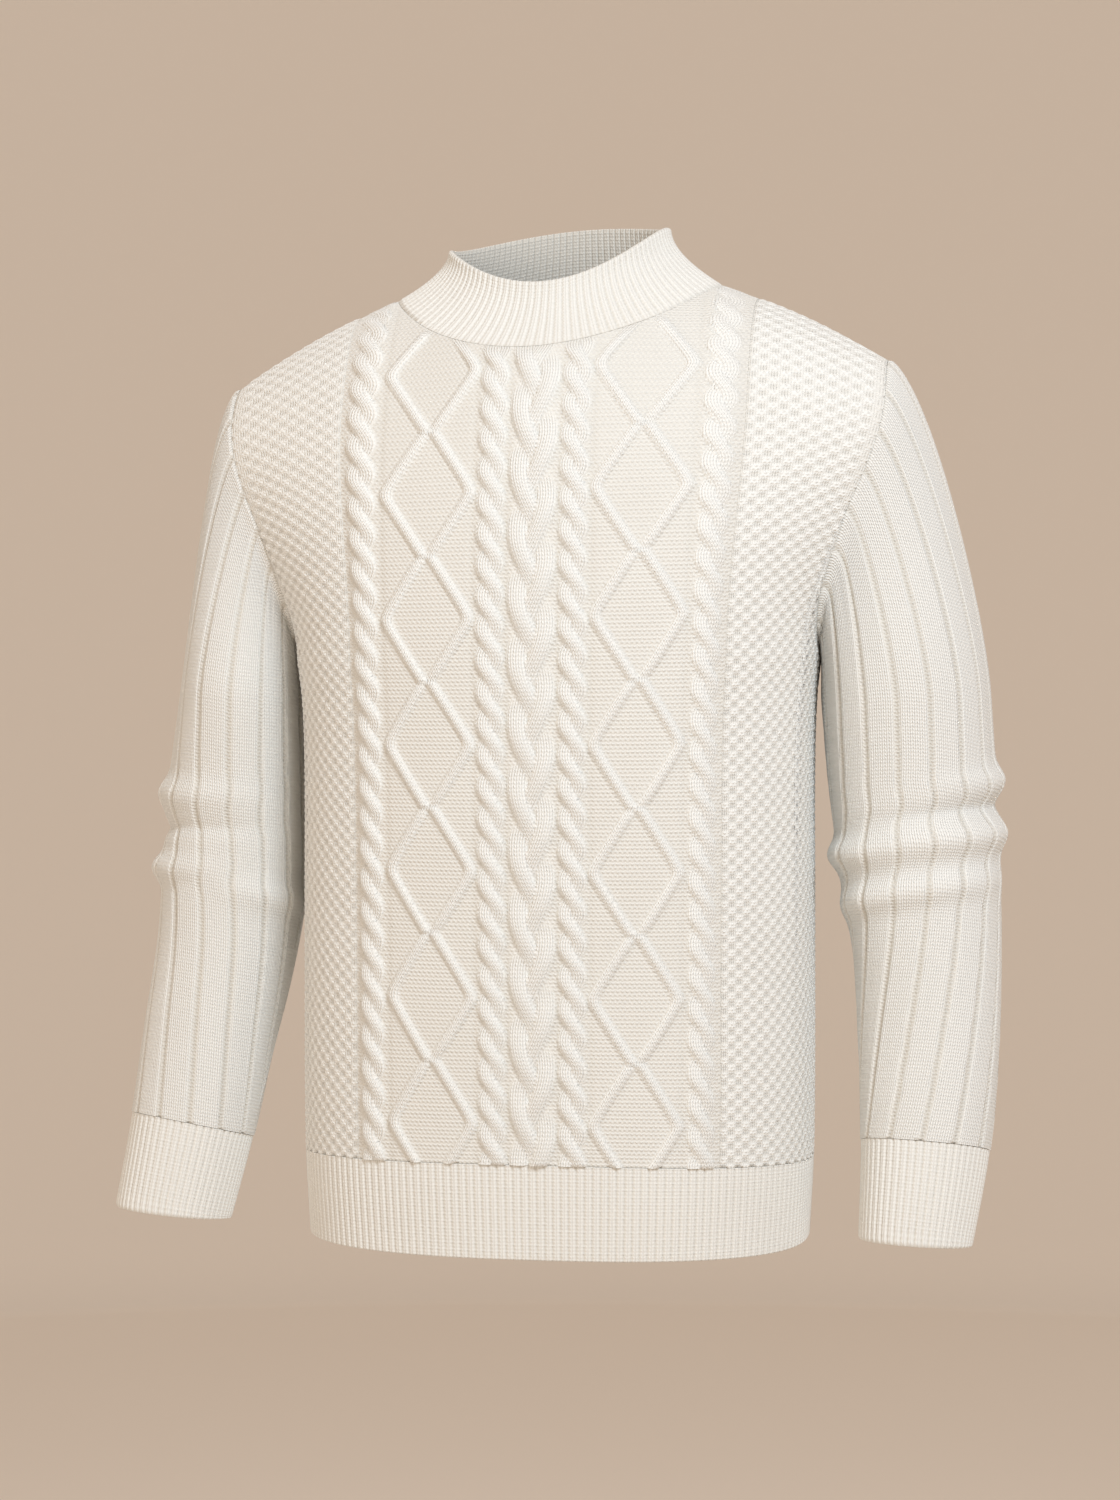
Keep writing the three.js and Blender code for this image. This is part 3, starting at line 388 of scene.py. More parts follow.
def diamond(d, t):
    form = cables["diamond"]
    turn = ((t - form["first"]) / cables["repeat"] + 0.5) % 2
    away = np.minimum(np.abs(turn - 1), 1 - np.abs(turn - 1)) * cables["repeat"]  # from a corner
    slope = 2 * (form["reach"] - 1.5) / cables["repeat"]
    bent = slope * (np.sqrt(away**2 + form["corner"] ** 2) - form["corner"] * 0.45)
    line = np.where(np.abs(turn - 1) < 0.5, form["reach"] - bent, bent - form["reach"])
    rising = turn < 1  # this line leans to the right going up, so it passes under
    lean = math.cos(math.atan(slope))
    lines = []
    for sign in (1, -1):
        below = rising if sign > 0 else ~rising
        crossing = np.exp(-((line / form["crossing"]) ** 2))
        press = np.where(below, 1 - form["under"] * crossing, 1 + form["over"] * crossing)
        lines.append((dome((d - sign * line) * lean, form["half"], 0.6) * press, sign * line))
    (heightA, middleA), (heightB, middleB) = lines
    over = heightA > heightB
    return np.where(over, heightA, heightB) * form["height"], np.where(over, middleA, middleB)


# Height of the front's pattern, how much it is knit rather than purl, and the middle of its strand.
def cableRelief(s, t):
    height = np.zeros(s.shape)
    middle = np.zeros(s.shape)
    for centre in cables["rope"]["centres"]:
        d = s - centre
        here = np.abs(d) < cables["rope"]["reach"]
        h, m = rope(d, t)
        height = np.where(here, np.maximum(h, height), height)
        middle = np.where(here, centre + m, middle)
    here = np.abs(s) < cables["braid"]["reach"]
    h, m = braid(s, t)
    height = np.where(here, h, height)
    middle = np.where(here, m, middle)
    for centre in cables["diamond"]["centres"]:
        d = s - centre
        here = np.abs(d) < cables["diamond"]["field"]
        h, m = diamond(d, t)
        height = np.where(here & (h > height), h, height)
        middle = np.where(here, centre + m, middle)
    knit = smooth(height / 0.9)
    channel = np.zeros(s.shape)
    for place in cables["channels"]:
        channel = np.maximum(channel, np.exp(-(((s - place) / cables["channelHalf"]) ** 2)))
    return height - cables["channel"] * channel * (1 - knit), knit, middle


# Height of the moss stitch, and how much of it is knit.
def mossRelief(s, t):
    wave = np.cos(2 * math.pi * s / moss["width"]) * np.cos(2 * math.pi * t / moss["height"])
    return moss["relief"] * (smooth(0.5 + 0.62 * wave) - 0.25), 1 - smooth(0.5 + 0.8 * wave)


def ribRelief(turns, relief):
    return relief * (np.abs(np.cos(math.pi * turns)) ** 0.7 - 0.35)


def ribKnitShare(turns):
    return smooth(np.abs(np.cos(math.pi * turns)) / 0.4 - 0.6)


# Sleeves hang from the armholes; the collar stands on the neck seam.
sleeves = {
    "right": {
        "side": -1,
        "sections": [
            {"z": -292, "x": -231, "y": 16, "wide": 43.5, "deep": 76},
            {"z": -350, "x": -236, "y": 18, "wide": 48, "deep": 70},
            {"z": -410, "x": -240, "y": 16, "wide": 50, "deep": 63},
            {"z": -472, "x": -246, "y": 10, "wide": 47.5, "deep": 57},
            {"z": -540, "x": -257, "y": -2, "wide": 44.5, "deep": 51},
            {"z": -600, "x": -266, "y": -14, "wide": 42, "deep": 46},
            {"z": -664, "x": -278, "y": -27, "wide": 39.5, "deep": 39},
        ],
        "creases": [
            {"z": -367, "round": 0.05, "reach": 0.75, "size": 6, "wide": 13, "slant": 8},
            {"z": -392, "round": 0.15, "reach": 0.7, "size": -3, "wide": 8, "slant": 14},
            {"z": -424, "round": 0.0, "reach": 0.65, "size": 6.5, "wide": 11, "slant": 10},
            {"z": -436, "round": 0.8, "reach": 0.4, "size": 3, "wide": 12, "slant": -12},
        ],
        "twist": 0,  # how far the ribs turn round the forearm
    },
    "left": {
        "side": 1,
        "sections": [
            {"z": -292, "x": 244.5, "y": 16, "wide": 57, "deep": 67},
            {"z": -350, "x": 249, "y": 16, "wide": 56.5, "deep": 64},
            {"z": -410, "x": 255, "y": 10, "wide": 54, "deep": 59},
            {"z": -472, "x": 261, "y": 2, "wide": 49.5, "deep": 55},
            {"z": -540, "x": 263, "y": -12, "wide": 46.5, "deep": 49},
            {"z": -600, "x": 262, "y": -26, "wide": 43, "deep": 45},
            {"z": -668, "x": 256, "y": -41, "wide": 37.5, "deep": 40},
        ],
        "creases": [
            {"z": -355, "round": 0.0, "reach": 0.55, "size": 5, "wide": 12, "slant": -6},
            {"z": -374, "round": 0.2, "reach": 0.6, "size": -3, "wide": 8, "slant": -8},
            {"z": -395, "round": 0.25, "reach": 0.9, "size": 6, "wide": 12, "slant": -10},
            {"z": -430, "round": 0.6, "reach": 0.8, "size": 4.5, "wide": 11, "slant": -10},
            {"z": -398, "round": 0.9, "reach": 0.4, "size": 5, "wide": 11, "slant": 4},
        ],
        "twist": 14,
    },
    "cuff": -602,
    "keep": 105,  # ribs this near the outer line keep their width down the arm
    "squareness": 2.15,
    "crease": {"size": 1.3, "wide": 0.84},  # a little sharper than in the solids
    "cap": {"startPull": 0.36, "fold": 12, "endPull": 0.8, "out": 0.82, "down": 0.57},
}

collar = {
    "height": 46,
    "half": 77,  # the rim's half width; "side", "frontZ" and "backZ" are its heights
    "side": 31,
    "tilt": 0.09,
    "frontY": -65,
    "frontZ": -3,
    "backY": 60,
    "backZ": 42,
}


# An open edge of a panel: points and outward directions, with places along it from 0 to 1, moved a
# seam's gap towards the middle of the opening.
def edgeLine(face, wales, heights, middle):
    wales, heights = np.asarray(wales, float), np.asarray(heights, float)
    point = bodyPoint(face, wales, heights)
    out = bodyOut(face, wales, heights)
    along = alongLine(point)
    ahead = np.gradient(point, axis=0)
    aside = unit(np.cross(out, ahead))
    facing = np.sum(aside * (np.asarray(middle) - point), -1, keepdims=True)
    aside = np.where(facing < 0, -aside, aside)
    return {"at": along / along[-1], "point": point + aside * cloth["gap"], "out": out}


def edgeAt(line, share):
    point = np.stack([np.interp(share, line["at"], line["point"][:, k]) for k in range(3)], -1)
    out = unit(np.stack([np.interp(share, line["at"], line["out"][:, k]) for k in range(3)], -1))
    return point, out


def armholeEdge(side, face):
    foot = armholeFoot(face)
    border = np.linspace(bodyTop(face, body["armholeHalf"]), foot, 90)
    wales = np.linspace(body["armholeHalf"] + 0.3, body["panelHalf"] - cloth["gap"] / 2, 160)
    heights = [bodyTop(face, across) for across in wales]
    s = np.concatenate([np.full(90, body["armholeHalf"]), wales]) * side
    return edgeLine(face, s, np.concatenate([border, heights]), (side * 226, body["ridgeY"], -170))


class Sleeve:
    def __init__(self, name):
        self.form = sleeves[name]
        self.side = self.form["side"]
        self.sections = self.form["sections"]
        self.first = self.sections[0]["z"]
        self.bottom = self.sections[-1]["z"]
        self.edges = {face: armholeEdge(self.side, face) for face in ("front", "back")}
        self.half = float(self.halfRound(np.array([self.first]))[0])

    def arcs(self, z):
        row = rowAt(self.sections, z)
        x, y, length = [], [], []
        for deep, wide in zip(np.ravel(row["deep"]), np.ravel(row["wide"])):
            across, out, whole = quarter(deep, wide, sleeves["squareness"], ringShares)
            x.append(across)
            y.append(out)
            length.append(whole)
        return row, np.array(x), np.array(y), np.array(length)

    def halfRound(self, z):
        return 2 * self.arcs(z)[3]

    # Points of level rings: z one height for each row, around a distance from the outer line.
    def onRing(self, z, around):
        row, x, y, length = self.arcs(z)
        up, down = rowAt(self.sections, z + 6), rowAt(self.sections, z - 6)
        axis = unit(np.stack([up["x"] - down["x"], up["y"] - down["y"], np.full(z.shape, 12.0)], -1))
        outward = np.zeros_like(axis)
        outward[:, 0] = self.side
        outward = unit(outward - axis * np.sum(outward * axis, -1, keepdims=True))
        forward = np.zeros_like(axis)
        forward[:, 1] = -1
        forward = forward - axis * np.sum(forward * axis, -1, keepdims=True)
        forward = unit(forward - outward * np.sum(forward * outward, -1, keepdims=True))
        share = np.clip(np.abs(around) / length[:, None], 0, 2)
        rows = np.broadcast_to(np.arange(len(z))[:, None], share.shape).astype(float)
        flat = np.where(share <= 1, share, 2 - share) * ringParts
        front = between(np.vstack([x, x[-1:]]), rows, flat) * np.sign(around + 1e-9)
        out = between(np.vstack([y, y[-1:]]), rows, flat) * np.where(share <= 1, 1, -1)
        centre = np.stack([row["x"], row["y"], z], -1)[:, None]
        point = centre + out[..., None] * outward[:, None] + front[..., None] * forward[:, None]
        swell = np.zeros(share.shape)
        for crease in self.form["creases"]:
            off = (around / (2 * length[:, None]) - crease["round"] + 3) % 2 - 1
            fade = smooth(1 - np.abs(off) / crease["reach"])
            place = crease["z"] + crease["slant"] * off
            away = (z[:, None] - place) / (crease["wide"] * sleeves["crease"]["wide"])
            swell += crease["size"] * sleeves["crease"]["size"] * fade * np.exp(-(away**2))
        return point + unit(point - centre) * swell[..., None]

    def armhole(self, turn):
        share = np.abs(turn)
        front, back = edgeAt(self.edges["front"], share), edgeAt(self.edges["back"], share)
        ahead = (turn >= 0)[..., None]
        return np.where(ahead, front[0], back[0]), np.where(ahead, front[1], back[1])

    # cap is 1 at the armhole and 0 at the first full ring; turn is -1 to 1 from seam to seam.
    def onCap(self, cap, turn):
        form = sleeves["cap"]
        point, out = self.armhole(turn)
        end = self.onRing(np.array([self.first]), turn[None] * self.half)[0]
        low = np.array([self.first - 4.0])
        below = self.onRing(low, turn[None] * self.halfRound(low)[0])[0]
        span = np.linalg.norm(point - end, axis=-1, keepdims=True)
        t = (1 - cap)[:, None, None]
        start = unit(np.array([self.side * form["out"], 0, -form["down"]]))
        folding = (1 - smooth((1 - np.abs(turn)) / 0.6))[:, None]
        leaving = start + out * (np.sum(start * out, -1, keepdims=True) * (folding - 1))
        leaving = leaving + np.array([0, 0, 1.2]) * folding
        leave = unit(leaving) * (span * form["startPull"] + form["fold"] * folding)
        arrive = unit(below - end) * span * form["endPull"]
        curve = (
            point * (2 * t**3 - 3 * t**2 + 1)
            + leave * (t**3 - 2 * t**2 + t)
            + end * (3 * t**2 - 2 * t**3)
            + arrive * (t**3 - t**2)
        )
        return curve, out


# A wall of cloth is sewn from blocks. Each is a grid of rows going up and columns; its outer side
# is fine, and its inner side takes every so many of them. Flat sizes and areas are in mm.
def makeBlock(point, out, relief, s, t, knit, opens, flip=False, middle=None, inside=None):
    half = cloth["wall"] / 2
    if middle is None:
        middle = np.zeros(s.shape)
    if inside is None:
        inside = np.zeros(s.shape)
    grids = {
        "outer": point + out * (half + relief)[..., None],
        "inner": point - out * (half + inside)[..., None],
        "raised": relief,
        "s": s,
        "t": t,
        "knit": knit,
        "middle": middle,
    }
    if flip:
        grids = {key: grid[:, ::-1] for key, grid in grids.items()}
        swap = {"left": "right", "right": "left"}
        opens = [swap.get(name, name) for name in opens]
    return {**grids, "opens": opens}


def picks(count, every):
    return sorted(set(list(range(0, count - 1, every)) + [count - 1]))


def sewCloth(name, blocks, every, stitch, ground, material, node, flat, wrap=False):
    points, values, faces, stitchUv, groundUv = [], [], [], [], []
    total = 0

    def cornerUv(s, t, middle):
        stitchUv.append(np.stack([(s - middle) / stitch[0], t / stitch[1]], -1).reshape(-1, 2))
        groundUv.append(np.stack([s / ground[0], t / ground[1]], -1).reshape(-1, 2))

    for block in blocks:
        if wrap:  # the last column lies on the first
            for key in ("outer", "inner", "raised", "knit"):
                grid = np.array(block[key])
                grid[:, -1] = grid[:, 0]
                block[key] = grid
        rows, columns = block["s"].shape
        rowPicks, columnPicks = picks(rows, every), picks(columns, every)
        coarse = np.ix_(rowPicks, columnPicks)
        outerIds = np.arange(rows * columns).reshape(rows, columns) + total
        total += rows * columns
        innerIds = np.arange(len(rowPicks) * len(columnPicks)).reshape(len(rowPicks), -1) + total
        total += innerIds.size
        points += [block["outer"].reshape(-1, 3), block["inner"][coarse].reshape(-1, 3)]
        # painted shade: the whole inner side is coloured as if it lay deep
        insideTone = np.full(innerIds.size, cloth["insideTone"])
        values.append(np.stack([block["raised"].ravel(), block["knit"].ravel()], -1))
        values.append(np.stack([insideTone, block["knit"][coarse].ravel()], -1))
        for ids, pick, turn in ((outerIds, lambda g: g, 1), (innerIds, lambda g: g[coarse], -1)):
            s, t, middle = pick(block["s"]), pick(block["t"]), pick(block["middle"])
            corners = [(slice(0, -1), slice(0, -1)), (slice(0, -1), slice(1, None))]
            corners += [(slice(1, None), slice(1, None)), (slice(1, None), slice(0, -1))]
            quads = np.stack([ids[c] for c in corners[::turn]], -1).reshape(-1, 4)
            faces += quads.tolist()
            # a face takes the strand of most of its corners, so no stitch is smeared between strands
            middles = np.sort(np.stack([middle[c] for c in corners], -1), -1)[..., 1][..., None]
            cornerUv(
                np.stack([s[c] for c in corners[::turn]], -1),
                np.stack([t[c] for c in corners[::turn]], -1),
                np.broadcast_to(middles, middles.shape[:2] + (4,)),
            )
        lines = {
            "bottom": ((0, slice(None)), columnPicks, 1),
            "right": ((slice(None), -1), rowPicks, 1),
            "top": ((-1, slice(None)), columnPicks, -1),
            "left": ((slice(None), 0), rowPicks, -1),
        }
        for side in block["opens"]:
            line, chosen, turn = lines[side]
            outer, inner, s, t = [grid[line] for grid in (outerIds, innerIds, block["s"], block["t"])]
            for k in range(len(chosen) - 1):
                a, b = chosen[k], chosen[k + 1]
                chain = list(range(a, b + 1))
                corner = [int(outer[i]) for i in chain] + [int(inner[k + 1]), int(inner[k])]
                places = chain + [b, a]
                if turn > 0:
                    corner.reverse()
                    places.reverse()
                faces.append(corner)
                cornerUv(s[places], t[places], 0)
    points, values = np.vstack(points), np.vstack(values)
    # grids that share a line, or close on themselves, become one skin
    _, first, merged = np.unique(np.round(points, 4), axis=0, return_index=True, return_inverse=True)
    merged = merged.ravel()
    faces = [[int(i) for i in merged[face]] for face in faces]
    mesh = bpy.data.meshes.new(name)
    mesh.from_pydata((points[first] * mm).tolist(), [], faces)
    for label, uv in (("stitch", stitchUv), ("ground", groundUv)):
        layer = mesh.uv_layers.new(name=label)
        layer.data.foreach_set("uv", np.vstack(uv).astype(np.float32).ravel())
    for label, column in (("raised", 0), ("knit", 1)):
        attribute = mesh.attributes.new(label, "FLOAT", "POINT")
        attribute.data.foreach_set("value", values[first, column].astype(np.float32))
    mesh.materials.append(material)
    made = bpy.data.objects.new(name, mesh)
    bpy.context.collection.objects.link(made)
    bpy.ops.object.select_all(action="DESELECT")
    bpy.context.view_layer.objects.active = made
    made.select_set(True)
    bpy.ops.object.shade_smooth_by_angle(angle=math.radians(cloth["smoothAngle"]))
    made.select_set(False)
    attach(made, "root")
    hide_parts(node)
    flat = (flat[0] * mm, flat[1] * mm)
    print(f"stage: {name} sewn, {sum(len(face) - 2 for face in faces)} triangles")


def flatArea(blocks):
    area = 0
    for block in blocks:
        across = np.diff(block["s"], axis=1)[:-1]
        up = np.diff(block["t"], axis=0)[:, :-1]
        area += float(np.sum(np.abs(across * up)))
    return area


# Open edges are rounded over: the outer side sinks to the middle of the wall at the very edge.
def rounded(relief, away, rest=0.0):
    share = np.clip(away / cloth["roundEdge"], 0, 1)
    keep = np.sqrt(np.maximum(0, 1 - (1 - share) ** 2))
    depth = cloth["wall"] / 2 * (1 - rest)
    return (depth + relief) * keep - depth


# Rows of an open edge stand close together so that the rounding shows.
def edgeRows(length, step):
    close = [0, 0.15, 0.5, 1.0, 1.6, 2.4]
    count = max(2, round((length - close[-1]) / step))
    return np.concatenate([close[:-1], np.linspace(close[-1], length, count + 1)])


def linear(code):
    levels = [int(code[i : i + 2], 16) / 255 for i in (1, 3, 5)]
    return tuple(v / 12.92 if v <= 0.04045 else ((v + 0.055) / 1.055) ** 2.4 for v in levels) + (1.0,)


def addNode(tree, kind, settings=None, inputs=None):
    node = tree.nodes.new(kind)
    for key, value in (settings or {}).items():
        setattr(node, key, value)
    for key, value in (inputs or {}).items():
        if isinstance(value, bpy.types.NodeSocket):
            tree.links.new(value, node.inputs[key])
        else:
            node.inputs[key].default_value = value
    return node


yarn = {
    "crest": "#F6F5F0",  # undyed cotton and wool blend
    "paintedShade": "#D2CCC0",  # painted shade between the stitches and beside the cables
    "roughness": 0.93,
    "sheen": 0.25,
    "stitchDepth": 0.75,  # mm
    "fuzz": 0.22,
    # painted shade: from the painted shade colour at 0 to the crest's at 1; stand is for each mm that
    # the cloth rises
    "cable": {"ground": 0.46, "stand": 0.18, "stitch": 0.34},
    "moss": {"ground": 0.5, "stand": 0.42, "stitch": 0.3},
    "rib": {"ground": 0.42, "stand": 0.24, "stitch": 0.3},
    "grooveTone": 1.7,  # how much deeper the sleeves' grooves are shaded
    "patchTone": 0.16,
}


# Knitted yarn: matt and a little fluffy. Knit stitches are pairs of slanted legs, purl stitches are
# small bars; the attribute "knit" says which show, and "raised" how far the cloth stands up. The
# colour carries painted shade and light: darker where "raised" is low and between the stitches.
def knitMaterial(name, depth, shadeTones):
    made = bpy.data.materials.new(name)
    made.use_nodes = True
    tree = made.node_tree
    tree.nodes.clear()

    calc = "ShaderNodeMath"
    multiply, multiplyAdd = {"operation": "MULTIPLY"}, {"operation": "MULTIPLY_ADD"}
    pingPong = {"operation": "PINGPONG"}
    stitch = addNode(tree, "ShaderNodeUVMap", {"uv_map": "stitch"})
    s = addNode(tree, "ShaderNodeSeparateXYZ", None, {0: stitch.outputs[0]})
    ground = addNode(tree, "ShaderNodeUVMap", {"uv_map": "ground"})
    g = addNode(tree, "ShaderNodeSeparateXYZ", None, {0: ground.outputs[0]})
    # the two legs of a knit stitch, and its loops one above another
    side = addNode(tree, calc, pingPong, {0: s.outputs[0], 1: 0.5}).outputs[0]
    turn = addNode(tree, calc, multiply, {0: side, 1: 2 * math.pi}).outputs[0]
    arch = addNode(tree, calc, {"operation": "SINE"}, {0: turn}).outputs[0]
    leg = addNode(tree, calc, {"operation": "POWER"}, {0: arch, 1: 0.7}).outputs[0]
    slant = addNode(tree, calc, {"operation": "SUBTRACT"}, {0: s.outputs[1], 1: side}).outputs[0]
    loop = addNode(tree, calc, pingPong, {0: slant, 1: 0.5}).outputs[0]
    rise = addNode(tree, calc, multiplyAdd, {0: loop, 1: 1.1, 2: 0.45}).outputs[0]
    knitStitch = addNode(tree, calc, multiply, {0: leg, 1: rise}).outputs[0]
    # the bars of purl stitches, waved a little and split into dots
    across = addNode(tree, calc, multiply, {0: g.outputs[0], 1: 2 * math.pi}).outputs[0]
    wave = addNode(tree, calc, {"operation": "COSINE"}, {0: across}).outputs[0]
    bent = addNode(tree, calc, multiplyAdd, {0: wave, 1: 0.1, 2: g.outputs[1]}).outputs[0]
    bar = addNode(tree, calc, pingPong, {0: bent, 1: 0.5}).outputs[0]
    up = addNode(tree, calc, multiply, {0: g.outputs[1], 1: math.pi}).outputs[0]
    row = addNode(tree, calc, {"operation": "SINE"}, {0: up}).outputs[0]
    cross = addNode(tree, calc, multiply, {0: wave, 1: row}).outputs[0]
    dots = addNode(tree, calc, multiplyAdd, {0: cross, 1: 0.35, 2: 0.65}).outputs[0]
    double = addNode(tree, calc, multiply, {0: bar, 1: 2.0}).outputs[0]
    purlStitch = addNode(tree, calc, multiply, {0: double, 1: dots}).outputs[0]
    knit = addNode(tree, "ShaderNodeAttribute", {"attribute_name": "knit"})
    raised = addNode(tree, "ShaderNodeAttribute", {"attribute_name": "raised"})
    mix = {0: knit.outputs["Fac"], 2: purlStitch, 3: knitStitch}
    both = addNode(tree, "ShaderNodeMix", {"data_type": "FLOAT"}, mix).outputs[0]
    place = addNode(tree, "ShaderNodeTexCoord").outputs["Object"]
    fibres = {"Vector": place, "Scale": 900.0, "Detail": 2.0, "Roughness": 0.6}  # about 1 mm apart
    fuzz = addNode(tree, "ShaderNodeTexNoise", None, fibres).outputs["Fac"]
    lifted = {0: fuzz, 1: yarn["fuzz"], 2: both}
    height = addNode(tree, calc, multiplyAdd, lifted).outputs[0]
    stitches = {"Strength": 1.0, "Distance": depth * mm, "Height": height}
    bump = addNode(tree, "ShaderNodeBump", None, stitches)
    patches = {"Vector": place, "Scale": 14.0, "Detail": 3.0}  # about 70 mm across
    uneven = addNode(tree, "ShaderNodeTexNoise", None, patches)
    # painted shade and light: the colour darkens where the cloth lies low and between the stitches, and
    # lightens where it stands up
    stand = {0: raised.outputs["Fac"], 1: shadeTones["stand"], 2: shadeTones["ground"]}
    lift = addNode(tree, calc, multiplyAdd, stand).outputs[0]
    tone = {0: both, 1: shadeTones["stitch"], 2: lift}
    shade = addNode(tree, calc, multiplyAdd, tone).outputs[0]
    patch = {0: uneven.outputs["Fac"], 1: yarn["patchTone"], 2: shade}
    shade = addNode(tree, calc, multiplyAdd, patch).outputs[0]
    ends = {0: shade, 6: linear(yarn["paintedShade"]), 7: linear(yarn["crest"])}
    colour = addNode(tree, "ShaderNodeMix", {"data_type": "RGBA", "clamp_factor": True}, ends)
    surface = {
        "Base Color": colour.outputs[2],
        "Roughness": yarn["roughness"],
        "Specular IOR Level": 0.2,
        "Sheen Weight": yarn["sheen"],
        "Sheen Roughness": 0.6,
        "Normal": bump.outputs[0],
    }
    shader = addNode(tree, "ShaderNodeBsdfPrincipled", None, surface)
    addNode(tree, "ShaderNodeOutputMaterial", None, {"Surface": shader.outputs[0]})
    return made


cableKnit = knitMaterial("cable knit in cream cotton blend", yarn["stitchDepth"], yarn["cable"])
mossKnit = knitMaterial("moss stitch in cream cotton blend", yarn["stitchDepth"], yarn["moss"])
ribKnit = knitMaterial("rib knit in cream cotton blend", yarn["stitchDepth"] * 0.8, yarn["rib"])
print("stage: materials made")


# Front and back panels: one grid of wales and heights, shaped at its top.
def panelBlock(face, wales, heights, reliefAt, opens, side=1):
    s, t = np.broadcast_arrays(wales * side, heights)
    relief, knit, middle = reliefAt(s, t)
    flip = (side < 0) != (face == "back")
    point, out = bodyPoint(face, s, t), bodyOut(face, s, t)
    return makeBlock(point, out, relief, s, t, knit, opens, flip, middle)


def makeCables():
    edge, across, up = cables["edge"], 204, 440  # cells of the grid
    wales = np.linspace(-edge, edge, across + 1)
    tops = np.array([bodyTop("front", s) for s in wales])
    # rows lie level up to just below the neck, and above it they follow the neck's curve
    level = tops.min() - cloth["levelBelow"]
    count = round(up * level / tops.max())
    low = np.linspace(0, level, count + 1)[:-1, None] + 0 * tops
    high = level + np.linspace(0, 1, up - count + 1)[:, None] * (tops - level)
    heights = np.concatenate([low, high])

    def relief(s, t):
        height, knit, middle = cableRelief(s, t)
        form = cables["rope"]
        flat = blend(form["flatTop"], 1, smooth((tops - t) / form["fade"]))
        height = height * np.where(np.abs(s) > form["outer"], flat, 1)
        return height * smooth((tops - t) / cloth["seamFade"]), knit, middle

    opens = ["bottom", "top", "left", "right"]
    block = panelBlock("front", wales[None], heights, relief, opens)
    stitch = (cables["knitWidth"], cables["knitHeight"])
    ground = (cables["purlWidth"], cables["purlHeight"])
    flat, area = (2 * edge, float(tops.max())), flatArea([block])
    sewCloth("front_cables", [block], 12, stitch, ground, cableKnit, "front", flat)


# Moss stitch from the cables' edge to the side seam; the armhole is cut out of its upper part.
def mossBlocks(face, side, inner, step):
    half, armhole = body["panelHalf"] - cloth["gap"] / 2, body["armholeHalf"]
    foot = armholeFoot(face)

    def relief(s, t):
        tops = np.array([bodyTop(face, across) for across in s[0]])
        s = np.abs(s)
        height, knit = mossRelief(s, t)
        height = height * smooth((tops - t) / cloth["seamFade"])
        height = height * np.where(t > foot, smooth((armhole - s) / moss["border"]), 1)
        if inner:
            away = (s - cables["channels"][-1]) / cables["channelHalf"]
            height = height * smooth((s - inner) / moss["start"])
            height = height - cables["channel"] * np.exp(-(away**2))
        return height, knit, np.zeros(s.shape)

    low = np.linspace(0, foot, round(foot / step) + 1)[:, None]
    yoke = np.linspace(inner, armhole, round((armhole - inner) / step) + 1)
    yokeTop = np.array([bodyTop(face, side * across) for across in yoke])
    flank = np.linspace(armhole, half, round((half - armhole) / step) + 1)
    flankTop = np.array([bodyTop(face, side * across) for across in flank])
    flankTop[0] = foot
    rise = np.linspace(0, 1, round((yokeTop.max() - foot) / step) + 1)[:, None]
    share = low / foot
    ends = ["left"] if inner else []
    high = foot + rise * (yokeTop - foot)
    return [
        panelBlock(face, yoke[None], low + 0 * yoke, relief, ["bottom"] + ends, side),
        panelBlock(face, yoke[None], high, relief, ["top", "right"] + ends, side),
        panelBlock(face, flank[None], share * flankTop, relief, ["bottom", "right", "top"], side),
    ]


mossStitch = (moss["width"] / 4, moss["height"] / 4)


def makeMoss(name, blocks, node, width):
    flat, area = (width, float(max(block["t"].max() for block in blocks))), flatArea(blocks)
    sewCloth(name, blocks, 10, mossStitch, mossStitch, mossKnit, node, flat)


def makeHem(name, face, node):
    form = ribs["hem"]
    half = body["panelHalf"] - cloth["gap"] / 2
    count = round(2 * body["panelHalf"] / form["pitch"])
    wales = np.linspace(-half, half, 6 * count + 1)
    length = body["hemTop"] - body["hemBottom"] - cloth["gap"]
    rows = edgeRows(length, 3.0)
    s, t = np.broadcast_arrays(wales[None], (rows - length - cloth["gap"])[:, None])
    turns = (s + half) / (2 * half) * count
    relief = rounded(ribRelief(turns, form["relief"]), rows[:, None])
    point, out = bodyPoint(face, s, t), bodyOut(face, s, t)
    stitch, opens = form["stitch"], ["bottom", "right", "top", "left"]
    knit, places = ribKnitShare(turns), turns * stitch[0]
    block = makeBlock(point, out, relief, places, t, knit, opens, face == "back")
    flat, area = (2 * half, length), 2 * half * length
    sewCloth(name, [block], 12, stitch, stitch, ribKnit, node, flat)


def sleevePoints(form, heights, caps, columns):
    half = form.half
    keep = sleeves["keep"]
    target = form.halfRound(heights)[:, None]
    wide = np.abs(columns)[None] * half
    tight = keep + (wide - keep) * (target - keep) / (half - keep)
    around = np.where(wide <= keep, wide, tight) * np.sign(columns + 1e-9)
    rings = form.onRing(heights, around)
    cap, capOut = form.onCap(caps, columns)
    point = np.concatenate([rings, cap])
    around = np.concatenate([around, np.broadcast_to(columns * half, (len(caps), len(columns)))])
    return point, around, capOut


# Outward directions of a tube that closes on itself, from its own grid.
def tubeOut(point):
    closed = point[:, :-1]
    across = np.roll(closed, -1, axis=1) - np.roll(closed, 1, axis=1)
    across = np.concatenate([across, across[:, :1]], axis=1)
    up = np.gradient(point, axis=0)
    out = unit(np.cross(across, up))
    centre = closed.mean(1, keepdims=True)
    inward = np.sum(out * (point - centre)) < 0
    return (-out if inward else out), inward


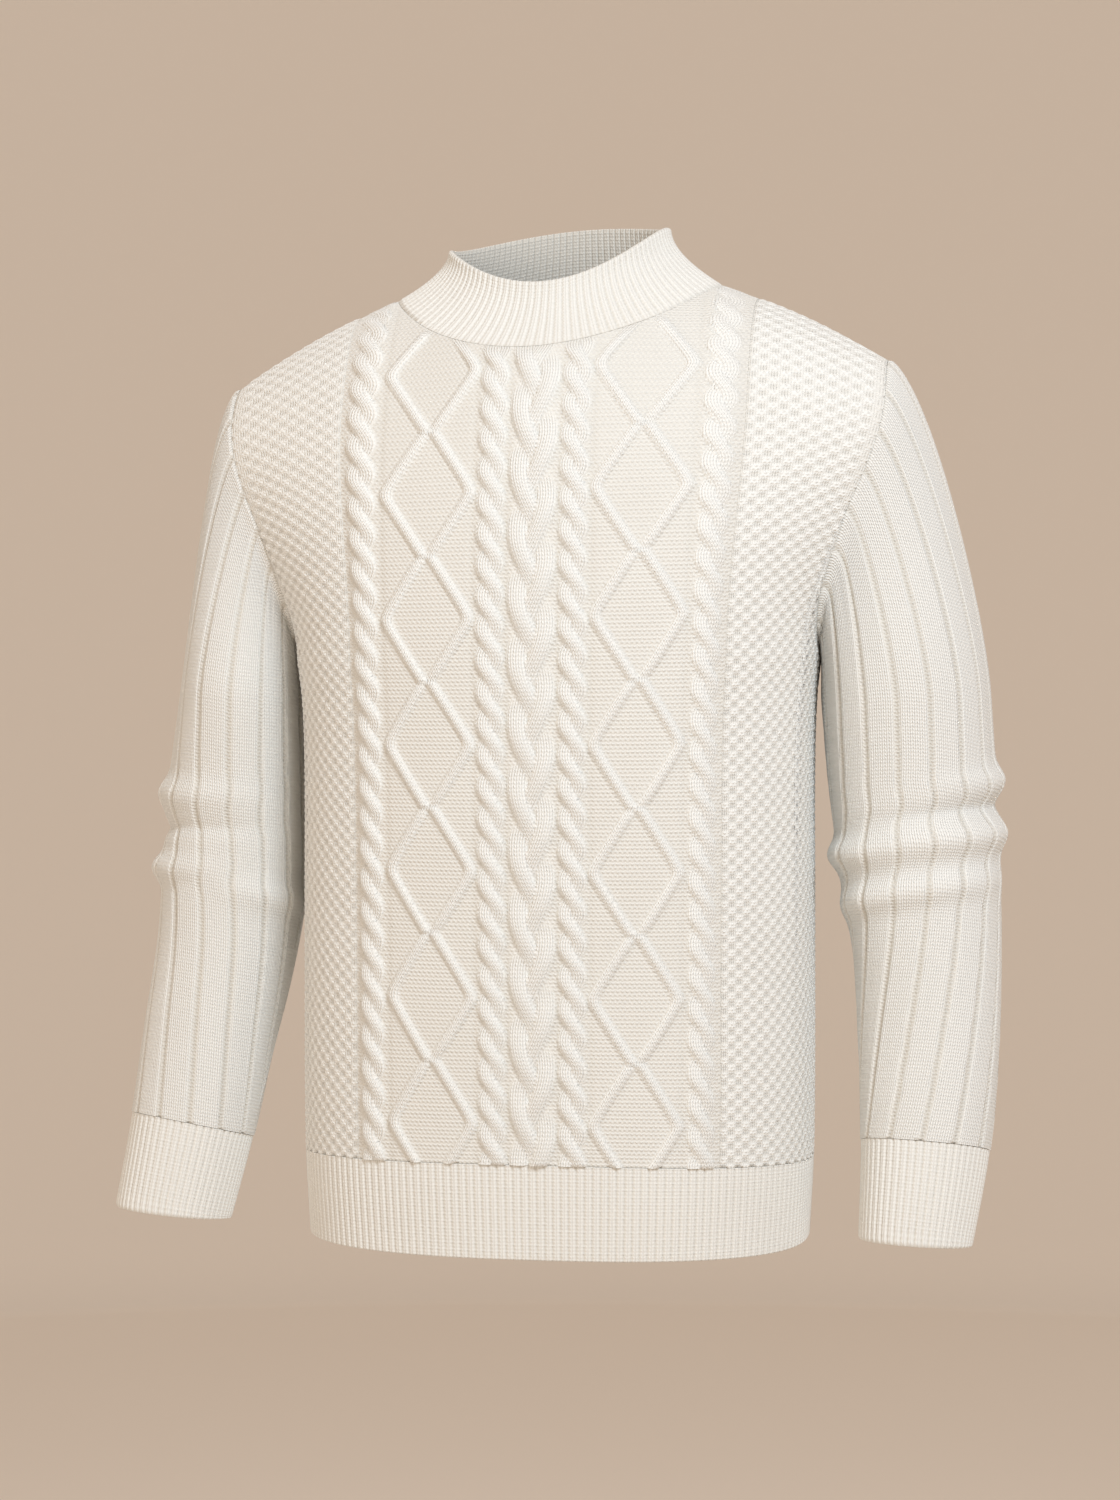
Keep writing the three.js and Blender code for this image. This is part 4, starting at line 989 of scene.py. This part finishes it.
def makeSleeve(name, side, node):
    form = Sleeve(side)
    shape = ribs["sleeve"]
    heights = np.linspace(sleeves["cuff"] + cloth["gap"], form.first, 142)[:-1]
    caps = np.concatenate([np.linspace(0, 0.9, 84), np.linspace(0.9, 1, 14)[1:]])
    columns = np.linspace(-1, 1, 209)
    point, around, edge = sleevePoints(form, heights, caps, columns)
    out, inward = tubeOut(point)
    weight = np.concatenate([np.zeros(len(heights)), smooth((caps - 0.5) / 0.5) * 0.8])
    weight[-1] = 1
    out = unit(out * (1 - weight[:, None, None]) + edge[None] * weight[:, None, None])
    z = np.concatenate([heights, np.full(len(caps), form.first)])[:, None]
    shift = form.form["twist"] * np.clip((-395 - z) / 205, 0, 1)
    for crease in form.form["creases"]:
        off = (around / (2 * form.half) - crease["round"] + 3) % 2 - 1
        away = (z - crease["z"] - crease["slant"] * off) / crease["wide"]
        pull = 0.5 * crease["size"] * smooth(1 - np.abs(off) / crease["reach"])
        shift = shift + pull * away * np.exp(-(away**2))
    place = around - shift
    gap = np.abs((place / shape["pitch"]) % 1 - 0.5) * shape["pitch"]
    knit = smooth((gap - 1.4) / 1.2)
    relief = shape["relief"] * (smooth(gap / shape["groove"]) - 0.4)
    relief = relief + shape["lip"] * np.exp(-(((gap - shape["lipAt"]) / shape["lipHalf"]) ** 2))
    top = np.concatenate([np.ones(len(heights)), smooth((1 - caps) / 0.035)])[:, None]
    relief = relief * top
    t = np.cumsum(np.linalg.norm(np.diff(point, axis=0), axis=-1), axis=0)
    t = np.concatenate([np.zeros((1, len(columns))), t])
    block = makeBlock(point, out, relief, place, t, knit, ["bottom", "top"], inward)
    # painted shade: the grooves are coloured darker than their depth alone would give
    block["raised"] = block["raised"] - yarn["grooveTone"] * (1 - block["knit"])
    flat, rests = (2 * form.half, float(t.max())), ["front_cables", "back_moss"]
    stitch, purl = shape["stitch"], shape["purl"]
    sewCloth(name, [block], 8, stitch, purl, cableKnit, node, flat, True)
    return form


def makeCuff(name, form, node):
    shape = ribs["cuff"]
    length = sleeves["cuff"] - form.bottom
    rows = edgeRows(length, 3.0)
    heights = form.bottom + rows
    middle = float(form.halfRound(np.array([form.bottom + length / 2]))[0])
    count = round(2 * middle / shape["pitch"])
    columns = np.linspace(-1, 1, 6 * count + 1)
    around = columns[None] * form.halfRound(heights)[:, None]
    point = form.onRing(heights, around)
    out, inward = tubeOut(point)
    turns = (columns + 1) / 2 * count
    relief = rounded(np.broadcast_to(ribRelief(turns, shape["relief"]), around.shape), rows[:, None])
    stitch = shape["stitch"]
    knit = np.broadcast_to(ribKnitShare(turns), around.shape)
    s, t = np.broadcast_arrays(turns[None] * stitch[0], rows[:, None])
    block = makeBlock(point, out, relief, s, t, knit, ["bottom", "top"], inward)
    flat, area, rests = (2 * middle, length), 2 * middle * length, [name.replace("cuff", "sleeve")]
    sewCloth(name, [block], 12, stitch, stitch, ribKnit, node, flat, True)


def makeCollar():
    shape = ribs["collar"]
    turn = np.linspace(0, math.pi, 221)
    wales = -body["neckHalf"] * np.cos(turn)
    edges = []
    for face in ("front", "back"):
        tops = [bodyTop(face, s) for s in wales]
        edges.append((face, wales, tops) if face == "front" else (face, wales[::-1], tops[::-1]))
    lines = [edgeLine(face, s, t, (0, -15, 0)) for face, s, t in edges]
    rimRadius = math.sqrt((collar["half"] ** 2 + collar["frontY"] ** 2) / 2)
    count = round(2 * math.pi * rimRadius / shape["pitch"])
    columns = np.linspace(0, 1, 6 * count + 1)
    share = columns % 1
    front = (share < 0.5)[:, None]
    pairs = [edgeAt(line, (share * 2) % 1) for line in lines]
    base = np.where(front, pairs[0][0], pairs[1][0])
    baseOut = np.where(front, pairs[0][1], pairs[1][1])
    angle = columns * 2 * math.pi
    forward = np.sin(angle)
    endY = np.where(forward > 0, collar["frontY"], collar["backY"])
    endZ = np.where(forward > 0, collar["frontZ"], collar["backZ"])
    rimX = -collar["half"] * np.cos(angle)
    rimZ = blend(collar["side"], endZ, forward**2) + collar["tilt"] * rimX
    rim = np.stack([rimX, endY * np.abs(forward), rimZ], -1)
    away = edgeRows(collar["height"], 2.2)
    levels = (1 - away / collar["height"])[::-1]
    lean = np.sin(levels * math.pi / 2)[:, None, None] ** 0.9
    point = base[None] + (rim - base)[None] * lean
    point[..., 2] = base[None, :, 2] + (rim - base)[None, :, 2] * levels[:, None]
    out, inward = tubeOut(point)
    weight = (smooth(1 - levels / 0.6) * 0.5 + 0.5 * smooth(1 - levels / 0.08))[:, None, None]
    out = unit(out * (1 - weight) + baseOut[None] * weight)
    turns = columns * count
    relief = ribRelief(turns, shape["relief"])[None] * smooth(levels / 0.05)[:, None]
    relief = rounded(relief, away[::-1][:, None])
    inside = ribRelief(turns + 0.5, shape["inside"])[None] * smooth(levels / 0.3)[:, None]
    inside = rounded(inside, away[::-1][:, None], 0.4)
    stitch = shape["stitch"]
    knit = np.broadcast_to(ribKnitShare(turns), relief.shape)
    s, t = np.broadcast_arrays(turns[None] * stitch[0], (collar["height"] - away[::-1])[:, None])
    block = makeBlock(point, out, relief, s, t, knit, ["bottom", "top"], inward, None, inside)
    height = np.linalg.norm(np.diff(point, axis=0), axis=-1).sum(0)
    widths = np.linalg.norm(np.diff(point, axis=1), axis=-1).sum(1)
    flat, area = (float(widths.max()), float(height.max())), float(widths.mean() * height.mean())
    sewCloth("neck_rib", [block], 1, stitch, stitch, ribKnit, "collar", flat, True)


makeCables()
for name, side in (("front_moss_left", 1), ("front_moss_right", -1)):
    blocks = mossBlocks("front", side, cables["edge"], 1.45)
    makeMoss(name, blocks, "front", body["panelHalf"] - cables["edge"])
blocks = mossBlocks("back", 1, 0, 2.2) + mossBlocks("back", -1, 0, 2.2)
makeMoss("back_moss", blocks, "back", 2 * body["panelHalf"])
makeHem("front_hem_rib", "front", "hem_rib_front")
makeHem("back_hem_rib", "back", "hem_rib_back")
for side in ("right", "left"):
    form = makeSleeve("sleeve_knit_" + side, side, "sleeve_" + side)
    makeCuff("cuff_knit_" + side, form, "cuff_" + side)
makeCollar()
print("stage: garment made")

studio = {
    "paper": "#CDC2B6",  # plain warm beige
    "glow": 0.29,
    "radius": 6.0,
    "floor": -1.9,
    "aim": (0, 0, -0.3),
    "lamps": [  # a little cool, against the warm paper; places and sizes in metres
        {"name": "key light", "place": (1.5, -2.4, 1.5), "size": 1.3, "watts": 79, "tint": "#E6F3FF"},
        {"name": "fill light", "place": (-2.2, -2.2, 0.3), "size": 2.2, "watts": 20, "tint": "#FFFAF3"},
        {"name": "back light", "place": (-1.0, 2.6, 1.6), "size": 2.0, "watts": 34, "tint": "#E6F3FF"},
    ],
}

bpy.ops.mesh.primitive_uv_sphere_add(segments=96, ring_count=64, radius=studio["radius"])
bowl = bpy.context.object
bowl.name = "studio_bowl"
for vertex in bowl.data.vertices:
    vertex.co.z = max(vertex.co.z, studio["floor"])
bpy.ops.object.shade_smooth()
paper = bpy.data.materials.new("matt backdrop paper")
paper.use_nodes = True
shader = paper.node_tree.nodes["Principled BSDF"]
shader.inputs["Base Color"].default_value = linear(studio["paper"])
shader.inputs["Roughness"].default_value = 1.0
shader.inputs["Specular IOR Level"].default_value = 0.0
shader.inputs["Emission Color"].default_value = linear(studio["paper"])
shader.inputs["Emission Strength"].default_value = studio["glow"]
bowl.data.materials.append(paper)
bowl.select_set(False)

for lamp in studio["lamps"]:
    bpy.ops.object.light_add(type="AREA", location=lamp["place"])
    light = bpy.context.object
    light.name = lamp["name"]
    light.data.shape = "DISK"
    light.data.size = lamp["size"]
    light.data.energy = lamp["watts"]
    light.data.color = linear(lamp["tint"])[:3]
    ahead = [a - b for a, b in zip(studio["aim"], lamp["place"])]
    pitch = math.atan2(math.hypot(ahead[0], ahead[1]), -ahead[2])
    light.rotation_euler = (pitch, 0, math.atan2(-ahead[0], ahead[1]))
    light.select_set(False)

# The picture is 1120 by 1500; the camera stands a little to the wearer's left and just above.
shot = {"azimuth": 9, "elevation": 3, "distance": 2.52, "aim": (0, 0, -0.330), "lens": 85}
turned, raised = math.radians(shot["azimuth"]), math.radians(shot["elevation"])
back = (math.sin(turned) * math.cos(raised), -math.cos(turned) * math.cos(raised), math.sin(raised))
bpy.ops.object.camera_add(
    location=[a + shot["distance"] * b for a, b in zip(shot["aim"], back)],
    rotation=(math.pi / 2 - raised, 0, turned),
)
camera = bpy.context.object
camera.data.lens = shot["lens"]
camera.data.sensor_width = 36
camera.data.clip_end = 30
bpy.context.scene.camera = camera
bpy.context.scene.view_settings.view_transform = "Standard"
print("stage: studio ready")
